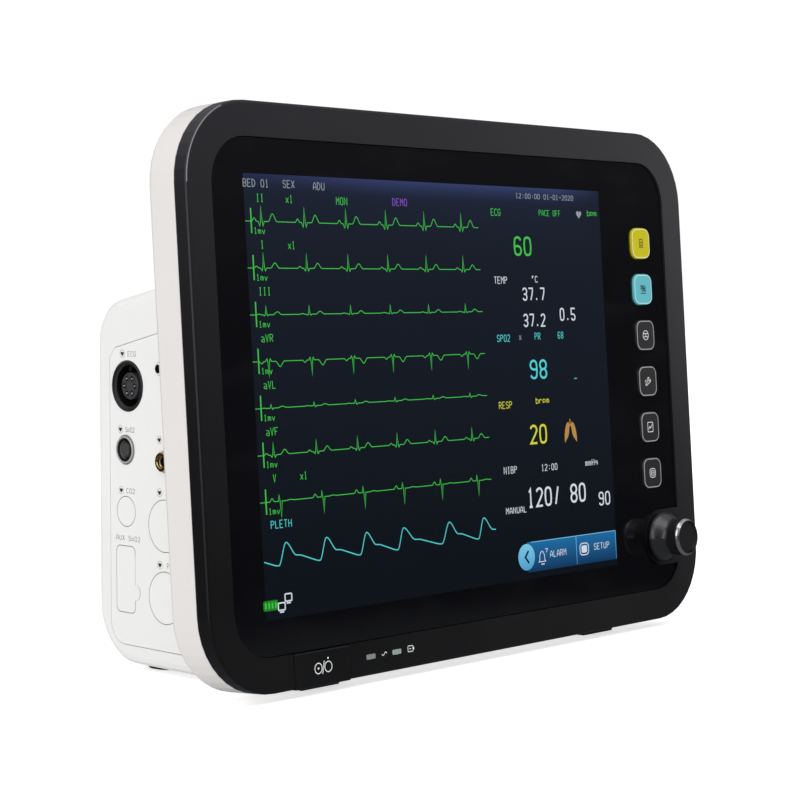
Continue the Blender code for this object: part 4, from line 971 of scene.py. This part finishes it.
# CAD node, printed name, its rise above the socket's middle and its width
SIDE_LABELS = (("ecg_socket", "ECG", 14.3, 6.0), ("spo2_socket", "SpO2", 9.0, 6.8), ("co2_blank", "CO2", 9.3, 6.2),
               ("aux_blank", "AUX SpO2", 18.4, 17.5), ("nibp_connector", "NIBP", 9.4, 7.2),
               ("pressure_blank_1", "P1", 14.5, 3.8), ("pressure_blank_2", "P2", 14.3, 3.8),
               ("temp_jack_1", "T1", -5.6, 3.2), ("temp_jack_2", "T2", -5.6, 3.2))


PRINT_LAYER = (-0.04, 0.02)  # from and to what height above a wall its print reaches
GAP = 0.3  # between a blank and its hole
# from and to what depth the painted shade in each gap reaches
GAP_LAYER = (-1.4, -0.08)


class MONITOR_OT_side_labels(bpy.types.Operator):
    """Make the small printed names beside the patient sockets, and the painted shade in the gaps round the blanks"""

    bl_idname = "monitor.side_labels"
    bl_label = "Side labels"

    def execute(self, context):
        height = context.scene.monitor_marks.label_height / MM
        names, signs, rings = [], [], []
        t = np.linspace(0, 2 * math.pi, 19)[:-1]
        heart = np.column_stack([1.15 * np.sin(t) ** 3, 0.98 * np.cos(t) - 0.36 * np.cos(2 * t)
                                 - 0.15 * np.cos(3 * t)])
        for node, text, rise, width in SIDE_LABELS:
            u, v, _ = LEFT.centre(node)
            jack, wide = node.startswith("temp"), width > 10
            shift = 1.9 if jack else 0 if wide else 3.3
            names.append(letters(text, height, (u + shift, v + rise), width, 0.26, *PRINT_LAYER))
            if not jack and not wide:
                signs.append(plate(heart + (u - 3.6, v + rise), -0.04, 0.025))
                rings.append(stroke(circle(1.75, (u - 3.6, v + rise), 24), 0.16, *PRINT_LAYER, closed=True))
        add_fixed("socket_names", LEFT, names, "print_grey")
        add_fixed("socket_signs", LEFT, signs, "print_dark")
        add_fixed("socket_sign_rings", LEFT, rings, "print_grey")
        # a near-black strip down inside each gap round a blank: painted shade of the gap
        gap_shades = []
        for node in ("co2_blank", "pressure_blank_1", "pressure_blank_2"):
            u, v, _ = LEFT.centre(node)
            middle_line = circle(self.front_reach(node) + GAP / 2, (u, v), 64)
            gap_shades.append(stroke(middle_line, GAP * 0.9, *GAP_LAYER, closed=True))
        gap_shades.append(stroke(self.blank_outline("aux_blank"), GAP * 0.9, *GAP_LAYER, closed=True))
        add_fixed("blank_gap_shade", LEFT, gap_shades, "rubber")
        return {"FINISHED"}

    def front_reach(self, node):
        """The radius of a round blank's outer face."""
        points = LEFT.outer_face(node)
        return (points[:, 0].max() - points[:, 0].min()) / 2

    def blank_outline(self, node):
        """The blank's outer edge, in order of angle round its middle, and half a gap outside it."""
        points = LEFT.outer_face(node)
        away = points - (points.min(0) + points.max(0)) / 2
        order = np.argsort(np.arctan2(away[:, 1], away[:, 0]))
        points, away = points[order], away[order]
        return points + away / np.linalg.norm(away, axis=1, keepdims=True) * GAP / 2


class MONITOR_OT_sockets(bpy.types.Operator):
    """Make the inserts and contacts of the patient sockets"""

    bl_idname = "monitor.sockets"
    bl_label = "Socket details"

    def execute(self, context):
        radius = context.scene.monitor_marks.pin_radius / MM
        u, v, _ = LEFT.centre("ecg_socket")
        island = turned([(6.0, -10.2), (6.0, -1.5), (5.7, -1.2), (5.3, -1.3), (0.01, -1.3)], (u, v), 44)
        places = circle(3.75, (u, v), 6, start=0)
        cups = [turned([(1.62, -1.4), (1.62, -1.02), (1.5, -0.9), (1.36, -0.9), (1.26, -1.02), (1.26, -1.4)], place, 20,
                       closed=True) for place in places]
        key = plate(rounded(1.8, 2.4, 0.4, (u + 0.6, v + 7.6), 3), -9.6, -1.0, 0.2)
        collar = turned([(9.95, -1.2), (9.95, -0.5), (9.7, -0.2), (9.5, -0.5), (9.5, -1.2)], (u, v), 48, closed=True)
        sleeve = turned([(9.95, -10.2), (9.95, -1.3), (9.3, -1.5), (9.3, -10.2)], (u, v), 48, closed=True)
        add_fixed("ecg_insert", LEFT, [island, collar, *cups], "insert_grey")
        wells = [turned([(1.24, -1.45), (1.24, -1.26), (0.01, -1.26)], place, 18) for place in places]
        trough = turned([(9.4, -10.3), (9.4, -9.2), (6.1, -9.2), (6.1, -10.3)], (u, v), 44, closed=True)
        # the trough, the bore's sleeve, the key slot and the pin holes are near-black: painted shade of the socket's
        # recesses
        add_fixed("ecg_wells", LEFT, [trough, sleeve, key, *wells], "painted_recess_shade")
        pins = [turned([(radius, -1.3), (radius, -0.95), (radius * 0.6, -0.75), (0.01, -0.7)], place, 14)
                for place in places]
        add_fixed("ecg_pins", LEFT, pins, "pin_silver")
        u, v, _ = LEFT.centre("spo2_socket")
        collar = turned([(6.1, -0.3), (6.1, 0.7), (5.9, 0.85), (5.5, 0.85), (5.3, 0.65), (5.3, -0.3)], (u, v), 44,
                        closed=True)
        add_fixed("spo2_collar", LEFT, [collar], "rim_silver")
        well = turned([(5.25, -0.2), (5.25, 0.54), (4.1, 0.54), (3.9, 0.3), (3.9, -0.2)], (u, v), 44, closed=True)
        # the well round the SpO2 insert is near-black: painted shade of the recess
        add_fixed("spo2_well", LEFT, [well], "painted_recess_shade")
        tongue = turned([(3.3, -10.5), (3.3, -0.6), (3.0, -0.3), (0.01, -0.3)], (u - 0.5, v), 36)
        add_fixed("spo2_insert", LEFT, [tongue], "insert_grey")
        contacts = [turned([(0.38, -0.5), (0.38, -0.2), (0.01, 0.0)], place, 10)
                    for place in circle(1.9, (u - 0.5, v), 7)]
        contacts.append(plate(rounded(0.9, 4.2, 0.4, (u + 3.35, v), 3), -6.0, 0.2, 0.15))
        add_fixed("spo2_contacts", LEFT, contacts, "plated_brass")
        rings = []
        for node in ("temp_jack_1", "temp_jack_2"):
            u, v, _ = LEFT.centre(node)
            top = LEFT.measure(node)[1][2]
            rings.append(turned([(1.95, top - 0.3), (1.95, top + 0.1), (1.8, top + 0.2), (1.5, top + 0.05), (1.4, -9.0),
                                 (1.6, -9.0)], (u, v), 24, closed=True))
        # a near-black lining down each temperature jack's hole: painted shade
        add_fixed("jack_wells", LEFT, rings, "painted_recess_shade")
        u, v, _ = LEFT.centre("nibp_connector")
        tip = turned([(4.3, 0.9), (4.3, 1.9), (3.9, 2.2), (2.9, 2.2), (2.6, 1.9), (2.6, 0.9)], (u, v), 32, closed=True)
        add_fixed("hose_rim", LEFT, [tip], "plated_brass")
        return {"FINISHED"}


class MONITOR_OT_back_details(bpy.types.Operator):
    """Make the contacts, the painted shade of the screw recesses, the vent mesh and the blank plate of the back wall"""

    bl_idname = "monitor.back_details"
    bl_label = "Back details"

    def execute(self, context):
        u, v, _ = BACK.centre("ac_inlet")
        blades = [plate(rounded(2.0, 5.2, 0.5, place, 3), -14.4, -4.0, 0.4)
                  for place in ((u - 7.0, v - 1.6), (u + 7.0, v - 1.6), (u, v + 2.4))]
        add_fixed("mains_blades", BACK, blades, "plain_steel")
        u, v, _ = BACK.centre("network_port")
        wires = [plate(rounded(0.4, 4.2, 0.15, (u - 3.5 + i, v + 1.6), 2), -13.0, -6.0) for i in range(8)]
        u, v, _ = BACK.centre("service_port")
        wires += [turned([(0.5, -14.2), (0.5, -5.0), (0.3, -4.6), (0.01, -4.5)],
                         (u - 8.0 + 4 * (i % 5) + 2 * (i // 5), v + 1.4 - 2.8 * (i // 5)), 10) for i in range(9)]
        add_fixed("port_contacts", BACK, wires, "plated_brass")
        crosses = []
        for index in range(1, 5):
            low, high = BACK.measure(f"rear_screw_{index}")
            u, v, top = (low + high)[0] / 2, (low + high)[1] / 2, high[2]
            # a black cross on each screw head: painted shade of its cross recess
            crosses += [plate(rounded(wide, tall, 0.25, (u, v), 2), top - 0.2, top + 0.02)
                        for wide, tall in ((3.8, 0.8), (0.8, 3.8))]
        add_fixed("screw_recess_shade", BACK, crosses, "socket_black")
        mesh = [stroke([(-96.0 + 3 * i, 56.0), (-96.0 + 3 * i, 128.0)], 0.5, -4.6, -4.2) for i in range(31)]
        mesh += [stroke([(-97.0, 56.0 + 3 * i), (-5.0, 56.0 + 3 * i)], 0.5, -4.2, -3.8) for i in range(25)]
        add_fixed("vent_mesh", BACK, mesh, "insert_grey")
        u, v, _ = BACK.centre("fuse_holder")
        top = BACK.measure("fuse_holder")[1][2]
        slot = [plate(rounded(8.0, 1.4, 0.4, (u, v), 3), top - 0.4, top + 0.03)]
        add_fixed("fuse_slot", BACK, slot, "insert_grey")
        name_plate = [plate(rounded(28, 40, 1.6, (18.5, 108.0), 4), -0.05, 0.3, 0.12)]
        add_fixed("blank_plate", BACK, name_plate, "rim_silver")
        return {"FINISHED"}


GRIP_SLOPE = 0.2  # fall of the resting grip from front to back


class MONITOR_OT_handle_and_door(bpy.types.Operator):
    """Make the grip ribs of the handle and the finger ribs of the battery door"""

    bl_idname = "monitor.handle_and_door"
    bl_label = "Handle and door"

    def execute(self, context):
        low, high = RIGHT.measure("battery_door")
        middle = (low + high) / 2
        ribs = [plate(rounded(1.4, 13.0, 0.7, (middle[0] - 9 + 3.6 * i, middle[1] + 4.0), 3), -0.1, 0.8, 0.4)
                for i in range(6)]
        make_piece("door_ribs", RIGHT, ribs, material("white_case"), "battery_door")
        _, y, z = JOINTS["handle_fold"]["pos_m"]
        slope = math.atan(GRIP_SLOPE)
        out = (0.0, math.sin(slope), math.cos(slope))
        along = (0.0, math.cos(slope), -math.sin(slope))
        grip = Wall((1, 0, 0), along, out, (0, y, z))
        ribs = [plate(rounded(1.6, 8.4, 0.7, (-36 + 4 * i, 56.0), 3), 5.8, 6.7, 0.4) for i in range(19)]
        make_piece("grip_ribs", grip, ribs, material("rubber"), "carrying_handle")
        return {"FINISHED"}


LAMPS = (
    # name, place and target in m, side of the square in m, power in W
    ("left_softbox", (-1.9, -0.2, 0.9), (-0.1, 0.0, 0.12), 1.3, 7.0),
    ("knob_spot", (-1.8, -0.75, 0.3), (0.143, -0.08, 0.045), 0.3, 1.4),
    ("top_softbox", (-0.3, -0.5, 2.0), (0.0, 0.0, 0.1), 1.6, 9.0),
    ("right_softbox", (2.3, -0.7, 0.45), (0.1, 0.0, 0.12), 0.7, 3.0),
)
CAMERA_TARGET = (-0.05185, -0.04817, 0.12143)  # m


class MONITOR_OT_stage(bpy.types.Operator):
    """Make the floor, the soft lights and the camera"""

    bl_idname = "monitor.stage"
    bl_label = "Stage"

    def execute(self, context):
        stage = context.scene.monitor_stage
        corners = [(-6.0, -6.0, 0.0), (6.0, -6.0, 0.0), (6.0, 6.0, 0.0), (-6.0, 6.0, 0.0)]
        mesh = bpy.data.meshes.new("floor")
        mesh.from_pydata(corners, [], [(0, 1, 2, 3)])
        floor = bpy.data.objects.new("floor", mesh)
        surface, tree, shader, coords = start_material("pale_floor")
        tint = ramp(tree, noise(tree, coords, 3.0, 2.0), 0.3, 0.7)
        tree.links.new(mixed(tree, tint, (0.86, 0.86, 0.86), (0.88, 0.88, 0.88)), shader.inputs["Base Color"])
        shader.inputs["Roughness"].default_value = 0.8
        shader.inputs["Specular IOR Level"].default_value = 0.0
        shader.inputs["Emission Color"].default_value = (1, 1, 1, 1)
        rays = tree.nodes.new("ShaderNodeLightPath").outputs
        glow = ramp(tree, rays["Is Camera Ray"], 0.0, 1.0, 0.12, 0.62)
        tree.links.new(glow, shader.inputs["Emission Strength"])
        # what glossy surfaces see of the floor is a painted reflection: a dim bluish glow, brightest round the monitor
        # and fading further out
        away = add_node(tree, "ShaderNodeVectorMath", {0: coords}, operation="LENGTH").outputs["Value"]
        reflected_glow_strength = ramp(tree, away, 0.25, 0.6, 0.14, 0.012)
        reflected_floor_glow = add_node(tree, "ShaderNodeEmission", {"Strength": reflected_glow_strength}, {"Color": (0.9, 0.94, 1.0, 1)})
        either = add_node(tree, "ShaderNodeMixShader", {0: rays["Is Glossy Ray"], 1: shader.outputs[0],
                                                        2: reflected_floor_glow.outputs[0]})
        tree.links.new(either.outputs[0], tree.nodes["Material Output"].inputs["Surface"])
        mesh.materials.append(surface)
        bpy.context.scene.collection.objects.link(floor)
        self.light_world(context.scene, stage.soft_light)
        for name, place, target, size, power in LAMPS:
            light = bpy.data.lights.new(name, "AREA")
            light.shape, light.size, light.energy = "SQUARE", size, power
            lamp = bpy.data.objects.new(name, light)
            lamp.location = place
            lamp.rotation_euler = (Vector(target) - Vector(place)).to_track_quat("-Z", "Y").to_euler()
            context.scene.collection.objects.link(lamp)
        self.place_camera(context.scene, stage)
        context.scene.view_settings.view_transform = "Standard"
        return {"FINISHED"}

    def light_world(self, scene, strength):
        """White all round for the camera, softer for the light that reaches the monitor, dim in reflections."""
        world = bpy.data.worlds.new("soft_studio")
        scene.world = world
        world.use_nodes = True
        tree = world.node_tree
        tree.nodes.clear()
        rays = tree.nodes.new("ShaderNodeLightPath").outputs
        shown = add_node(tree, "ShaderNodeBackground", values={"Color": (1, 1, 1, 1), "Strength": 1.05})
        around = add_node(tree, "ShaderNodeBackground", values={"Color": (1, 1, 1, 1), "Strength": strength})
        height = add_node(tree, "ShaderNodeSeparateXYZ", {0: tree.nodes.new("ShaderNodeTexCoord").outputs["Generated"]})
        overhead = ramp(tree, height.outputs["Z"], 0.08, 0.8, 0.03, 0.55)
        mirrored = add_node(tree, "ShaderNodeBackground", {"Strength": overhead}, {"Color": (0.92, 0.93, 1, 1)})
        gloss = add_node(tree, "ShaderNodeMixShader", {0: rays["Is Glossy Ray"], 1: around.outputs[0],
                                                       2: mirrored.outputs[0]})
        both = add_node(tree, "ShaderNodeMixShader", {0: rays["Is Camera Ray"], 1: gloss.outputs[0],
                                                      2: shown.outputs[0]})
        out = tree.nodes.new("ShaderNodeOutputWorld")
        tree.links.new(both.outputs[0], out.inputs["Surface"])

    def place_camera(self, scene, stage):
        """The camera stands back from its target by the distance, at the azimuth and elevation."""
        target = Vector(CAMERA_TARGET)
        azimuth, elevation = stage.azimuth, stage.elevation
        back = Vector((math.sin(azimuth) * math.cos(elevation), -math.cos(azimuth) * math.cos(elevation),
                       math.sin(elevation)))
        data = bpy.data.cameras.new("camera")
        data.lens, data.sensor_width = stage.lens, 36.0
        camera = bpy.data.objects.new("camera", data)
        camera.location = target + back * stage.distance
        camera.rotation_euler = back.to_track_quat("Z", "Y").to_euler()
        scene.collection.objects.link(camera)
        scene.camera = camera


class MONITOR_PT_tools(bpy.types.Panel):
    """The monitor's operators and settings in the sidebar"""

    bl_idname = "MONITOR_PT_tools"
    bl_label = "Patient monitor"
    bl_space_type = "VIEW_3D"
    bl_region_type = "UI"
    bl_category = "Monitor"

    def draw(self, context):
        layout = self.layout
        for operator in OPERATORS:
            layout.operator(operator.bl_idname)
        for name, group in GROUPS_OF_PROPERTIES.items():
            box = layout.box()
            settings = getattr(context.scene, name)
            for key in group.__annotations__:
                box.prop(settings, key)


OPERATORS = (MONITOR_OT_finishes, MONITOR_OT_picture, MONITOR_OT_traces, MONITOR_OT_readings, MONITOR_OT_key_marks,
             MONITOR_OT_power_marks, MONITOR_OT_side_labels, MONITOR_OT_sockets, MONITOR_OT_back_details,
             MONITOR_OT_handle_and_door, MONITOR_OT_stage)
GROUPS_OF_PROPERTIES = {"monitor_finish": MonitorFinish, "monitor_picture": MonitorPicture,
                        "monitor_marks": MonitorMarks, "monitor_stage": MonitorStage}


def register():
    for cls in (*GROUPS_OF_PROPERTIES.values(), *OPERATORS, MONITOR_PT_tools):
        bpy.utils.register_class(cls)
    for name, group in GROUPS_OF_PROPERTIES.items():
        setattr(bpy.types.Scene, name, bpy.props.PointerProperty(type=group))


def unregister():
    for name in GROUPS_OF_PROPERTIES:
        delattr(bpy.types.Scene, name)
    for cls in reversed((*GROUPS_OF_PROPERTIES.values(), *OPERATORS, MONITOR_PT_tools)):
        bpy.utils.unregister_class(cls)


def main():
    """Run every operator in order."""
    register()
    for operator in OPERATORS:
        getattr(bpy.ops.monitor, operator.bl_idname.split(".")[1])()


if __name__ == "__main__":
    main()
